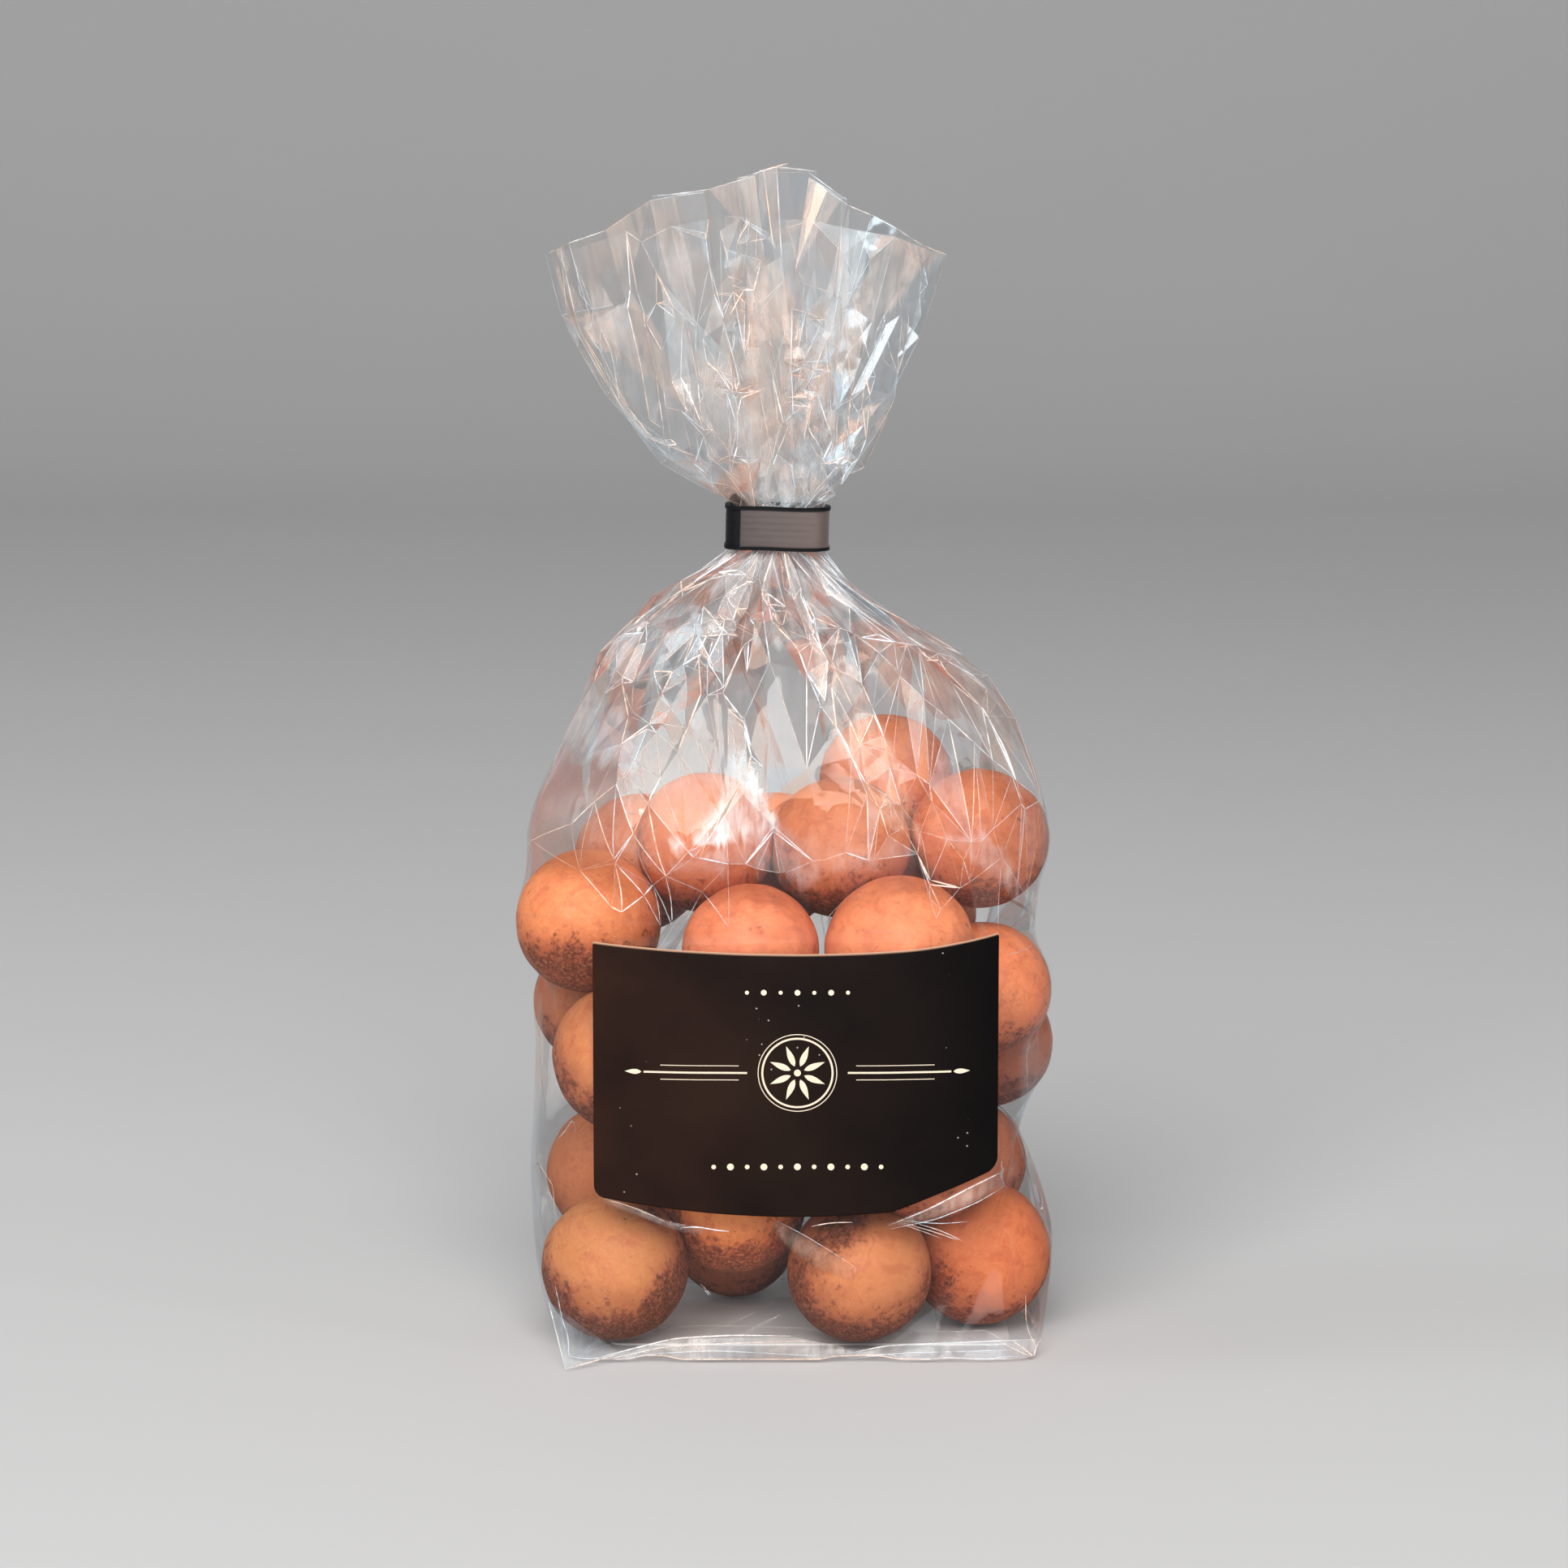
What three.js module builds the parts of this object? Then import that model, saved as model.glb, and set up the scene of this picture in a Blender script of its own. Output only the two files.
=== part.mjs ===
// A clear film gift bag of marzipan potatoes: a block-bottomed bag, gathered at
// its neck by a flat band clip, with the free film fanned out above it.
// Millimetres, +Z up. The bag stands on the sticker of its underside, its front
// label looks along -Y, and the origin is under the middle of the whole.
import * as THREE from "three";
import { mergeVertices } from "three/addons/utils/BufferGeometryUtils.js";

// ---- driving dimensions ------------------------------------------------------
const BAG_Z0 = 0.65; // underside of the bag's flat bottom
const NECK_LOW = 145.1, // the clip's lower and upper edges
  NECK_HIGH = 153.1;
const RIM_SIDE = 198.2, // the fan's rim at its two sides
  RIM_CROWN = 10.6, // how far the rim rises towards the middle
  MOUTH_DIP = 9; // how far the mouth's middle lies below the rim
const AROUND = 88; // points around each level of the bag

const CLIP_W = 18.8, // outside width, depth and height of the bent band
  CLIP_D = 9.4,
  CLIP_H = 8,
  CLIP_R = 3.3,
  CLIP_T = 0.9,
  CLIP_RIM = 0.25, // the rolled edges stand proud by this much
  CLIP_ROLL = THREE.MathUtils.degToRad(1.4),
  CLIP_X = -1.2;

const LABEL_T = 0.4, // thickness of the stickers
  LABEL_GAP = 0.35, // and their distance from the film
  LABEL_X0 = -34.2,
  LABEL_X1 = 38.4,
  LABEL_TOP = 77.8,
  LABEL_LOW = 31.4,
  LABEL_SAG = 3.4, // the front label's lower edge bows down by this much
  LABEL_CUT_X = 19.5, // the fold that shortens its lower right corner
  LABEL_CUT_Z = 8.6,
  CORNER_R = 2;
const BASE_LABEL = { x0: -32, x1: 41.5, y0: -17, y1: 26, t: 0.35 };

// the whole is shifted so that the origin is under the middle of its box
const SHIFT_X = -0.68,
  SHIFT_Y = 0.35;

// ---- how the bag runs up: one row for each level ------------------------------
// z, left, right, half depth, middle of the depth, squareness, pleat depth
const LEVELS = [
  [BAG_Z0, -40.0, 46.4, 28.8, 0, 12, 0],
  [2.2, -42.0, 47.6, 29.7, 0, 11, 0],
  [8, -44.2, 49.2, 30.4, 0, 8.5, 0],
  [16, -46.0, 50.4, 31.0, 0, 6.2, 0],
  [30, -47.5, 51.3, 31.6, 0, 4.4, 0],
  [46, -47.9, 51.2, 32.2, 0, 3.6, 0],
  [63, -47.2, 50.6, 32.4, 0, 3.4, 0],
  [78, -49.1, 49.9, 32.0, 0, 3.4, 0],
  [90, -50.1, 49.9, 31.2, 0.2, 3.3, 0.01],
  [98, -48.9, 49.2, 30.0, 0.4, 3.1, 0.03],
  [106.5, -43.6, 46.4, 27.6, 0.6, 2.9, 0.055],
  [114, -38.8, 42.6, 24.8, 0.8, 2.8, 0.08],
  [122, -35.2, 37.0, 21.6, 0.9, 2.6, 0.1],
  [128, -32.6, 30.6, 18.4, 0.9, 2.5, 0.12],
  [135.2, -25.2, 15.8, 13.2, 0.7, 2.4, 0.14],
  [140, -18.0, 10.8, 9.0, 0.4, 2.4, 0.14],
  [143.8, -10.8, 8.6, 4.8, 0.1, 3.0, 0.06],
  [NECK_LOW, -9.1, 6.9, 3.2, 0, 4.0, 0],
  [NECK_HIGH, -9.1, 6.9, 3.2, 0, 4.0, 0],
  [154.4, -10.4, 9.0, 4.2, 0, 3.0, 0.06],
  [157.2, -14.8, 11.8, 6.0, 0, 2.5, 0.14],
  [164, -24.6, 16.2, 9.0, 0, 2.3, 0.18],
  [171, -29.9, 20.0, 11.0, 0, 2.2, 0.19],
  [179.5, -35.2, 23.9, 12.4, 0, 2.2, 0.18],
  [187.5, -39.5, 26.9, 13.2, 0, 2.2, 0.17],
  [RIM_SIDE, -42.3, 29.9, 13.8, 0, 2.2, 0.16],
];

// smooth value of one column of LEVELS at a height, without overshoot
function column(k, z) {
  const n = LEVELS.length;
  let i = 0;
  while (i < n - 2 && z > LEVELS[i + 1][0]) i++;
  const [a, b] = [LEVELS[i], LEVELS[i + 1]];
  const h = b[0] - a[0],
    t = THREE.MathUtils.clamp((z - a[0]) / h, 0, 1);
  const slope = (j) => {
    if (j <= 0 || j >= n - 1) return 0;
    const s0 = (LEVELS[j][k] - LEVELS[j - 1][k]) / (LEVELS[j][0] - LEVELS[j - 1][0]),
      s1 = (LEVELS[j + 1][k] - LEVELS[j][k]) / (LEVELS[j + 1][0] - LEVELS[j][0]);
    return s0 * s1 <= 0 ? 0 : (2 * s0 * s1) / (s0 + s1);
  };
  const m0 = slope(i) * h,
    m1 = slope(i + 1) * h;
  return (
    a[k] * (2 * t ** 3 - 3 * t ** 2 + 1) +
    m0 * (t ** 3 - 2 * t ** 2 + t) +
    b[k] * (3 * t ** 2 - 2 * t ** 3) +
    m1 * (t ** 3 - t ** 2)
  );
}

// a pleat: a rounded zigzag of uneven folds around the bag
function pleat(phi) {
  const warp = phi + 0.22 * Math.sin(2 * phi + 0.6) + 0.11 * Math.sin(5 * phi + 1.9);
  const zig = (x) => (2 / Math.PI) * Math.asin(0.96 * Math.sin(x));
  return 0.65 * zig(15 * warp) + 0.35 * zig(9 * warp + 1.1);
}

// a point of the bag's skin at angle phi (from +X, counter-clockwise) and height z
function skin(phi, z) {
  const left = column(1, z),
    right = column(2, z),
    n = column(5, z);
  const c = Math.cos(phi),
    s = Math.sin(phi);
  const k =
    Math.pow(Math.pow(Math.abs(c), n) + Math.pow(Math.abs(s), n), -1 / n) *
    (1 - column(6, z) * (0.5 - 0.5 * pleat(phi)));
  return [
    (left + right) / 2 + ((right - left) / 2) * k * c,
    column(4, z) + column(3, z) * k * s,
  ];
}

// the fan's rim rises towards its middle, higher at the back, in uneven waves
function rimLift(x, back) {
  const u = (x + 6.2) / 36;
  const crown = RIM_CROWN * (1 - u * u);
  const peak = back * 6.2 * Math.exp(-(((x - 0.5) / 10) ** 2));
  const left = back * 2.6 * Math.exp(-(((x + 22) / 6) ** 2));
  return crown * (0.72 + 0.28 * back) + peak + left + 0.7 * Math.sin(0.42 * x);
}

// closed mesh from rings of points: rings[j][i], with a centre point at each end
function closedLoft(rings, low, high) {
  const n = rings[0].length,
    at = [],
    index = [];
  rings.forEach((r) => r.forEach((p) => at.push(...p)));
  const a = at.length / 3;
  at.push(...low);
  at.push(...high);
  for (let i = 0; i < n; i++) {
    const j = (i + 1) % n;
    for (let r = 0; r < rings.length - 1; r++) {
      const p = r * n;
      index.push(p + i, p + j, p + n + j, p + i, p + n + j, p + n + i);
    }
    const top = (rings.length - 1) * n;
    index.push(a, j, i, a + 1, top + i, top + j);
  }
  const g = new THREE.BufferGeometry();
  g.setAttribute("position", new THREE.Float32BufferAttribute(at, 3));
  g.setIndex(index);
  return g;
}

function makeBag() {
  const heights = [];
  for (let i = 0; i < LEVELS.length - 1; i++) {
    const [z0, z1] = [LEVELS[i][0], LEVELS[i + 1][0]];
    const steps = i === 17 ? 1 : z1 - z0 > 11 ? 2 : 1;
    for (let s = 0; s < steps; s++) heights.push(z0 + ((z1 - z0) * s) / steps);
  }
  heights.push(RIM_SIDE - 4, RIM_SIDE);
  heights.sort((p, q) => p - q);
  const rings = heights.map((z) => {
    const ring = [];
    for (let i = 0; i < AROUND; i++) {
      const phi = (i / AROUND) * Math.PI * 2;
      const [x, y] = skin(phi, z);
      const back = THREE.MathUtils.smoothstep(Math.sin(phi), -0.6, 0.7);
      const share = THREE.MathUtils.clamp((z - 166) / (RIM_SIDE - 166), 0, 1);
      ring.push([x, y, z + share ** 1.3 * rimLift(x, back)]);
    }
    return ring;
  });
  const c = (column(1, RIM_SIDE) + column(2, RIM_SIDE)) / 2;
  // the mouth is dished: an inner ring below the rim, then its middle
  const rim = rings[rings.length - 1];
  rings.push(
    rim.map(([x, y, z]) => [c + (x - c) * 0.55, y * 0.5, z - MOUTH_DIP * 0.7]),
  );
  const base = rings[0];
  const bx = (LEVELS[0][1] + LEVELS[0][2]) / 2;
  return closedLoft(
    [base.map(([x, y, z]) => [bx + (x - bx) * 0.6, y * 0.6, z]), ...rings],
    [bx, 0, BAG_Z0],
    [c, 0, RIM_SIDE + RIM_CROWN - MOUTH_DIP],
  );
}

// the band: a flat strip bent into a rounded rectangle around the gathered neck
function makeClip() {
  const path = new THREE.Shape();
  const w = CLIP_W / 2,
    d = CLIP_D / 2,
    r = CLIP_R;
  path.moveTo(-w + r, -d);
  path.lineTo(w - r, -d);
  path.absarc(w - r, -d + r, r, -Math.PI / 2, 0, false);
  path.lineTo(w, d - r);
  path.absarc(w - r, d - r, r, 0, Math.PI / 2, false);
  path.lineTo(-w + r, d);
  path.absarc(-w + r, d - r, r, Math.PI / 2, Math.PI, false);
  path.lineTo(-w, -d + r);
  path.absarc(-w + r, -d + r, r, Math.PI, 1.5 * Math.PI, false);
  const line = path.getSpacedPoints(56).slice(0, -1);
  const h = CLIP_H / 2,
    e = 0.75;
  // the strip's section: out from the outer face, and up
  const section = [
    [-CLIP_T, -h],
    [0.1, -h],
    [CLIP_RIM, -h + 0.2],
    [CLIP_RIM, -h + e],
    [0, -h + e + 0.25],
    [0, h - e - 0.25],
    [CLIP_RIM, h - e],
    [CLIP_RIM, h - 0.2],
    [0.1, h],
    [-CLIP_T, h],
  ];
  const n = line.length,
    m = section.length,
    at = [],
    index = [];
  line.forEach((p, i) => {
    const a = line[(i + n - 1) % n],
      b = line[(i + 1) % n];
    const t = new THREE.Vector2().subVectors(b, a).normalize();
    section.forEach(([out, up]) =>
      at.push(p.x + t.y * out, p.y - t.x * out, up),
    );
  });
  for (let i = 0; i < n; i++)
    for (let k = 0; k < m; k++) {
      const p = i * m + k,
        q = i * m + ((k + 1) % m),
        s = ((i + 1) % n) * m + k,
        u = ((i + 1) % n) * m + ((k + 1) % m);
      index.push(p, s, u, p, u, q);
    }
  const g = new THREE.BufferGeometry();
  g.setAttribute("position", new THREE.Float32BufferAttribute(at, 3));
  g.setIndex(index);
  return g;
}

// a thin closed plate over a grid: place(u, v, side) gives each point,
// u and v from 0 to 1, side 0 for the back and 1 for the front
function plate(place, nu, nv) {
  const at = [],
    index = [];
  const id = (i, j, s) => (s * (nv + 1) + j) * (nu + 1) + i;
  for (let s = 0; s < 2; s++)
    for (let j = 0; j <= nv; j++)
      for (let i = 0; i <= nu; i++) at.push(...place(i / nu, j / nv, s));
  const quad = (a, b, c, d) => index.push(a, b, c, a, c, d);
  for (let j = 0; j < nv; j++)
    for (let i = 0; i < nu; i++) {
      quad(id(i, j, 1), id(i + 1, j, 1), id(i + 1, j + 1, 1), id(i, j + 1, 1));
      quad(id(i, j, 0), id(i, j + 1, 0), id(i + 1, j + 1, 0), id(i + 1, j, 0));
    }
  for (let i = 0; i < nu; i++) {
    quad(id(i, 0, 0), id(i + 1, 0, 0), id(i + 1, 0, 1), id(i, 0, 1));
    quad(id(i, nv, 1), id(i + 1, nv, 1), id(i + 1, nv, 0), id(i, nv, 0));
  }
  for (let j = 0; j < nv; j++) {
    quad(id(0, j, 1), id(0, j + 1, 1), id(0, j + 1, 0), id(0, j, 0));
    quad(id(nu, j, 0), id(nu, j + 1, 0), id(nu, j + 1, 1), id(nu, j, 1));
  }
  const g = new THREE.BufferGeometry();
  g.setAttribute("position", new THREE.Float32BufferAttribute(at, 3));
  g.setIndex(index);
  return mergeVertices(g, 1e-5);
}

// how much a rounded corner takes off at a distance from the side
function corner(d, r = CORNER_R) {
  return d >= r ? 0 : r - Math.sqrt(Math.max(0, r * r - (r - d) * (r - d)));
}
// spreads the columns so that they are close together at both sides
function spread(u) {
  return u - 0.14 * Math.sin(2 * Math.PI * u);
}

// depth of the bag's front at a place, without pleats
function front(x, z) {
  const left = column(1, z),
    right = column(2, z),
    n = column(5, z);
  const u = Math.abs((x - (left + right) / 2) / ((right - left) / 2));
  return column(4, z) - column(3, z) * Math.pow(1 - Math.pow(u, n), 1 / n);
}

function makeFrontLabel() {
  const place = (u, v, side) => {
    const x = LABEL_X0 + (LABEL_X1 - LABEL_X0) * spread(u);
    const edge = Math.min(x - LABEL_X0, LABEL_X1 - x);
    const t = (x - LABEL_X0) / (LABEL_X1 - LABEL_X0);
    const bow = Math.sin(Math.PI * t);
    const cut = Math.max(0, (x - LABEL_CUT_X) / (LABEL_X1 - LABEL_CUT_X));
    const top = LABEL_TOP + 1.5 * cut * cut - 1.7 * bow - corner(edge, 0.8);
    const low = LABEL_LOW - LABEL_SAG * bow + LABEL_CUT_Z * cut * 0.6 + corner(edge);
    const z = low + (top - low) * v;
    return [x, front(x, z) - LABEL_GAP - (side ? LABEL_T : 0), z];
  };
  return plate(place, 24, 12);
}

function makeBaseLabel() {
  const b = BASE_LABEL;
  const place = (u, v, side) => {
    const x = b.x0 + (b.x1 - b.x0) * spread(u);
    const c = corner(Math.min(x - b.x0, b.x1 - x), 2.4);
    const y = b.y0 + c + (b.y1 - b.y0 - 2 * c) * v;
    return [x, y, side ? b.t : 0];
  };
  return plate(place, 20, 1);
}

// ---- the object ----------------------------------------------------------------
const FILM = new THREE.MeshStandardMaterial({
  color: 0xdfe6e8,
  roughness: 0.08,
  metalness: 0,
});
const BAND = new THREE.MeshStandardMaterial({
  color: 0x2b211e,
  roughness: 0.5,
  metalness: 0.1,
});
const DARK_PAPER = new THREE.MeshStandardMaterial({
  color: 0x1d1512,
  roughness: 0.38,
  metalness: 0,
});
const WHITE_PAPER = new THREE.MeshStandardMaterial({
  color: 0xe9e6e1,
  roughness: 0.5,
  metalness: 0,
});

const root = new THREE.Group();
root.name = "bag_of_marzipan_potatoes";
const whole = new THREE.Group();
whole.position.set(SHIFT_X, SHIFT_Y, 0);
root.add(whole);

function add(name, geometry, material) {
  const mesh = new THREE.Mesh(geometry, material);
  mesh.name = name;
  whole.add(mesh);
  return mesh;
}

add("bag", makeBag(), FILM);
const clip = add("clip", makeClip(), BAND);
clip.position.set(CLIP_X, 0, (NECK_LOW + NECK_HIGH) / 2);
clip.rotation.y = CLIP_ROLL;
add("front_label", makeFrontLabel(), DARK_PAPER);
add("base_label", makeBaseLabel(), WHITE_PAPER);

export default root;
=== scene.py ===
import math, time
import bpy, bmesh, mathutils
import numpy as np
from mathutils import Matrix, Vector
from mathutils.bvhtree import BVHTree


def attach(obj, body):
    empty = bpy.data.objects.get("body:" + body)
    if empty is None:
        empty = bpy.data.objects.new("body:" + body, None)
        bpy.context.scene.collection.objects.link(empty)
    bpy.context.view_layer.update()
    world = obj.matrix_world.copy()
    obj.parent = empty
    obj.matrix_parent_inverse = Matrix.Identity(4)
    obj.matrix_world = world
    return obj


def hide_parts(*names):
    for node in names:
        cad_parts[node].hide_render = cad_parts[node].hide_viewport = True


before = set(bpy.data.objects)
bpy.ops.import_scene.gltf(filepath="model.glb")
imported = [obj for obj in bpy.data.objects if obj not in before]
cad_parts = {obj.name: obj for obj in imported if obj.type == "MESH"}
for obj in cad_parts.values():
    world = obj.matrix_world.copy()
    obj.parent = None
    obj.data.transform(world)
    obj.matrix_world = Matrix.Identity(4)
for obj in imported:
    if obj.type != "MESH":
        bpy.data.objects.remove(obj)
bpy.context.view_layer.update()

# ---- the film's outline by height, in mm: height, left, right, half depth, middle, squareness
LEVELS = np.array([
    [0.65, -40.0, 46.4, 28.8, 0, 12], [2.2, -42.0, 47.6, 29.7, 0, 11], [8, -44.2, 49.2, 30.4, 0, 8.5],
    [16, -46.0, 50.4, 31.0, 0, 6.2], [30, -47.5, 51.3, 31.6, 0, 4.4], [46, -47.9, 51.2, 32.2, 0, 3.6],
    [63, -47.2, 50.6, 32.4, 0, 3.4], [78, -49.1, 49.9, 32.0, 0, 3.4], [90, -50.1, 49.9, 31.2, 0.2, 3.3],
    [98, -48.9, 49.2, 30.0, 0.4, 3.1], [106.5, -43.6, 46.4, 27.6, 0.6, 2.9], [114, -38.8, 42.6, 24.8, 0.8, 2.8],
    [122, -35.2, 37.0, 21.6, 0.9, 2.6], [128, -32.6, 30.6, 18.4, 0.9, 2.5], [135.2, -25.2, 15.8, 13.2, 0.7, 2.4],
    [140, -18.0, 10.8, 9.0, 0.4, 2.4], [143.8, -10.8, 8.6, 4.8, 0.1, 3.0], [145.1, -9.1, 6.9, 3.2, 0, 4],
    [153.1, -9.1, 6.9, 3.2, 0, 4], [154.4, -10.4, 9.0, 4.2, 0, 3], [157.2, -14.8, 11.8, 6.0, 0, 2.5],
    [164, -24.6, 16.2, 9.0, 0, 2.3], [171, -29.9, 20.0, 11.0, 0, 2.2], [179.5, -35.2, 23.9, 12.4, 0, 2.2],
    [187.5, -39.5, 26.9, 13.2, 0, 2.2], [198.2, -42.3, 29.9, 13.8, 0, 2.2], [216, -46.5, 33.5, 14.6, 0, 2.2]])
S_NECK0, S_NECK1, S_TOP = 166.0, 174.0, 239.0   # along the film: clip's lower and upper edge, the cut top
Z_NECK0, Z_NECK1 = 145.1, 153.1
LAB = dict(x0=-34.2, x1=38.4, z0=27.6, z1=79.4)
f4 = np.float32


def col(k, z):
    return np.interp(z, LEVELS[:, 0], LEVELS[:, k])


def perim(s):
    return np.interp(s, [0, 22, 46, 70, 95, 120], [286.0, 300.0, 302.0, 303.0, 308.0, 314.0])


def front(x, z):
    l, r, n = col(1, z), col(2, z), col(5, z)
    u = np.clip(np.abs((x - (l + r) / 2) / ((r - l) / 2)), 0, 0.999)
    return col(4, z) - col(3, z) * (1 - u ** n) ** (1 / n)


def rim_lift(x, back):
    u = (x + 6.2) / 36
    crown = 10.6 * (1 - u * u)
    peak = back * 6.2 * np.exp(-(((x - 0.5) / 10) ** 2))
    left = back * 2.6 * np.exp(-(((x + 22) / 6) ** 2))
    return crown * (0.72 + 0.28 * back) + peak + left + 0.7 * np.sin(0.42 * x)


def pair(A, B, rest, k, wa, wb, mode=0):
    d = B - A
    l = np.sqrt(np.einsum('ijk,ijk->ij', d, d)) + 1e-9
    if mode == 0:
        c = 1 - rest / l
    else:
        q = l / rest
        c = np.where(q < 1, 1 - 1 / q, 0) * np.where(q < 0.72, 0.1, 1)
    d *= (k * c / (wa + wb + 1e-9))[..., None]
    A += d * wa[..., None]
    B -= d * wb[..., None]


def solve(X, W, du, dv, kb):
    nu = X.shape[1]
    D = du[:, None]
    pair(X[:, 0::2], X[:, 1::2], D, 1.0, W[:, 0::2], W[:, 1::2])
    B = np.roll(X[:, 0::2], -1, 1)
    wB = np.roll(W[:, 0::2], -1, 1)
    pair(X[:, 1::2], B, D, 1.0, W[:, 1::2], wB)
    X[:, 0::2] = np.roll(B, 1, 1)
    for o in (0, 1):
        A, B = X[o:-1:2], X[o + 1::2]
        m = min(len(A), len(B))
        pair(A[:m], B[:m], dv, 1.0, W[o:-1:2][:m], W[o + 1::2][:m])
    dd = np.sqrt(du ** 2 + dv ** 2)
    for o in (0, 1):
        A, B = X[o:-1:2], X[o + 1::2]
        m = min(len(A), len(B))
        r = dd[o:-1:2][:m, None]
        for sh in (-1, 1):
            Bs = np.roll(B[:m], sh, 1)
            wBs = np.roll(W[o + 1::2][:m], sh, 1)
            pair(A[:m], Bs, r, 0.5, W[o:-1:2][:m], wBs)
            B[:m] = np.roll(Bs, -sh, 1)
    if kb > 0:
        for o in (0, 1, 2, 3):
            idx = (np.arange(0, nu, 4) + o + 2) % nu
            B = X[:, idx]
            pair(X[:, o::4], B, 2 * D, kb, W[:, o::4], W[:, idx], 1)
            X[:, idx] = B
        for o in (0, 1, 2, 3):
            A, B = X[o:-2:4], X[o + 2::4]
            m = min(len(A), len(B))
            pair(A[:m], B[:m], 2 * dv, kb, W[o:-2:4][:m], W[o + 2::4][:m], 1)


def envelope(X):
    """keeps the film inside its outline, and the fan's pleats away from its middle"""
    z = X[..., 2]
    a = (col(2, z) - col(1, z)) / 2
    b, cx, cy, n = col(3, z), (col(1, z) + col(2, z)) / 2, col(4, z), col(5, z)
    x, y = X[..., 0] - cx, X[..., 1] - cy
    k = (np.abs(x / a) ** n + np.abs(y / b) ** n) ** (1 / n)
    lo = np.interp(z, [150, 156, 166, 220], [0, 0.2, 0.5, 0.62])
    f = np.maximum(k, 1) * np.minimum(1, (k + 1e-3) / np.maximum(lo, 1e-3))
    X[..., 0] = cx + x / f
    X[..., 1] = cy + y / f


def fill(X, s):
    """widens each row of the shoulders and of the fan until it fills the outline"""
    rows = np.where(((s > 100) & (s < S_NECK0 - 3)) | (s > S_NECK1 + 1))[0]
    Y = X[rows]
    z = Y[..., 2]
    for k, ax, mid in ((0, 0, (col(1, z) + col(2, z)) / 2), (1, 1, col(4, z))):
        half = (col(2, z) - col(1, z)) / 2 if k == 0 else col(3, z)
        q = (Y[..., ax] - mid) / half
        hi = np.clip(0.985 / np.maximum(q.max(1), 0.05), 1, 1.02)[:, None]
        lo = np.clip(0.985 / np.maximum((-q).max(1), 0.05), 1, 1.02)[:, None]
        Y[..., ax] = mid + q * half * np.where(q > 0, hi, lo)
    X[rows] = Y


def outward(X):
    z = X[..., 2]
    a = (col(2, z) - col(1, z)) / 2
    b, cx, cy = col(3, z), (col(1, z) + col(2, z)) / 2, col(4, z)
    gx = (X[..., 0] - cx) / a ** 1.6
    gy = (X[..., 1] - cy) / b ** 1.6
    l = np.sqrt(gx * gx + gy * gy) + 1e-6
    return np.stack([gx / l, gy / l, 0 * gx], -1)


def balls_out(X, BALLS, gap, zr):
    for bx, by, bz, br in BALLS:
        j0, j1 = np.searchsorted(zr, [bz - br - 8, bz + br + 14])
        Y = X[max(j0, 1):j1]
        d = Y - np.array([bx, by, bz], f4)
        l2 = np.einsum('ijk,ijk->ij', d, d)
        R = br + gap
        m = l2 < R * R
        if m.any():
            l = np.sqrt(l2[m])
            Y[m] += d[m] * ((R - l) / l)[:, None]


def row_heights(s):
    zt = LEVELS[:-1, 0]
    mid = (LEVELS[:-1, 1] + LEVELS[:-1, 2]) / 2
    a, b = (LEVELS[:-1, 2] - LEVELS[:-1, 1]) / 2, LEVELS[:-1, 3]
    dz, da, db, dc = np.diff(zt), np.diff(a), np.diff(b), np.diff(mid)
    seg = 0.5 * np.hypot(dz, db) + 0.25 * np.hypot(dz, da + dc) + 0.25 * np.hypot(dz, da - dc)
    S = np.r_[0, np.cumsum(seg)]
    i0 = np.where(zt >= 145.05)[0][0]
    i1 = i0 + 1
    S2 = S.copy()
    j = np.where(zt >= 78)[0][0]
    S2[j:i0 + 1] = S[j] + (S[j:i0 + 1] - S[j]) * (S_NECK0 - S[j]) / (S[i0] - S[j])
    S2[i1] = S_NECK1
    S2[i1 + 1:] = S_NECK1 + (S[i1 + 1:] - S[i1])
    return np.interp(s, S2, zt) + np.maximum(0, s - S2[-1])


def ring(u, a, b, n):
    t = np.linspace(0, 2 * np.pi, 1441)
    k = (np.abs(np.cos(t)) ** n + np.abs(np.sin(t)) ** n) ** (-1 / n)
    p = np.c_[a * k * np.cos(t), b * k * np.sin(t)]
    L = np.r_[0, np.cumsum(np.linalg.norm(p[1:] - p[:-1], axis=1))]
    q = u * L[-1]
    return np.c_[np.interp(q, L, p[:, 0]), np.interp(q, L, p[:, 1])], L[-1]


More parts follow.
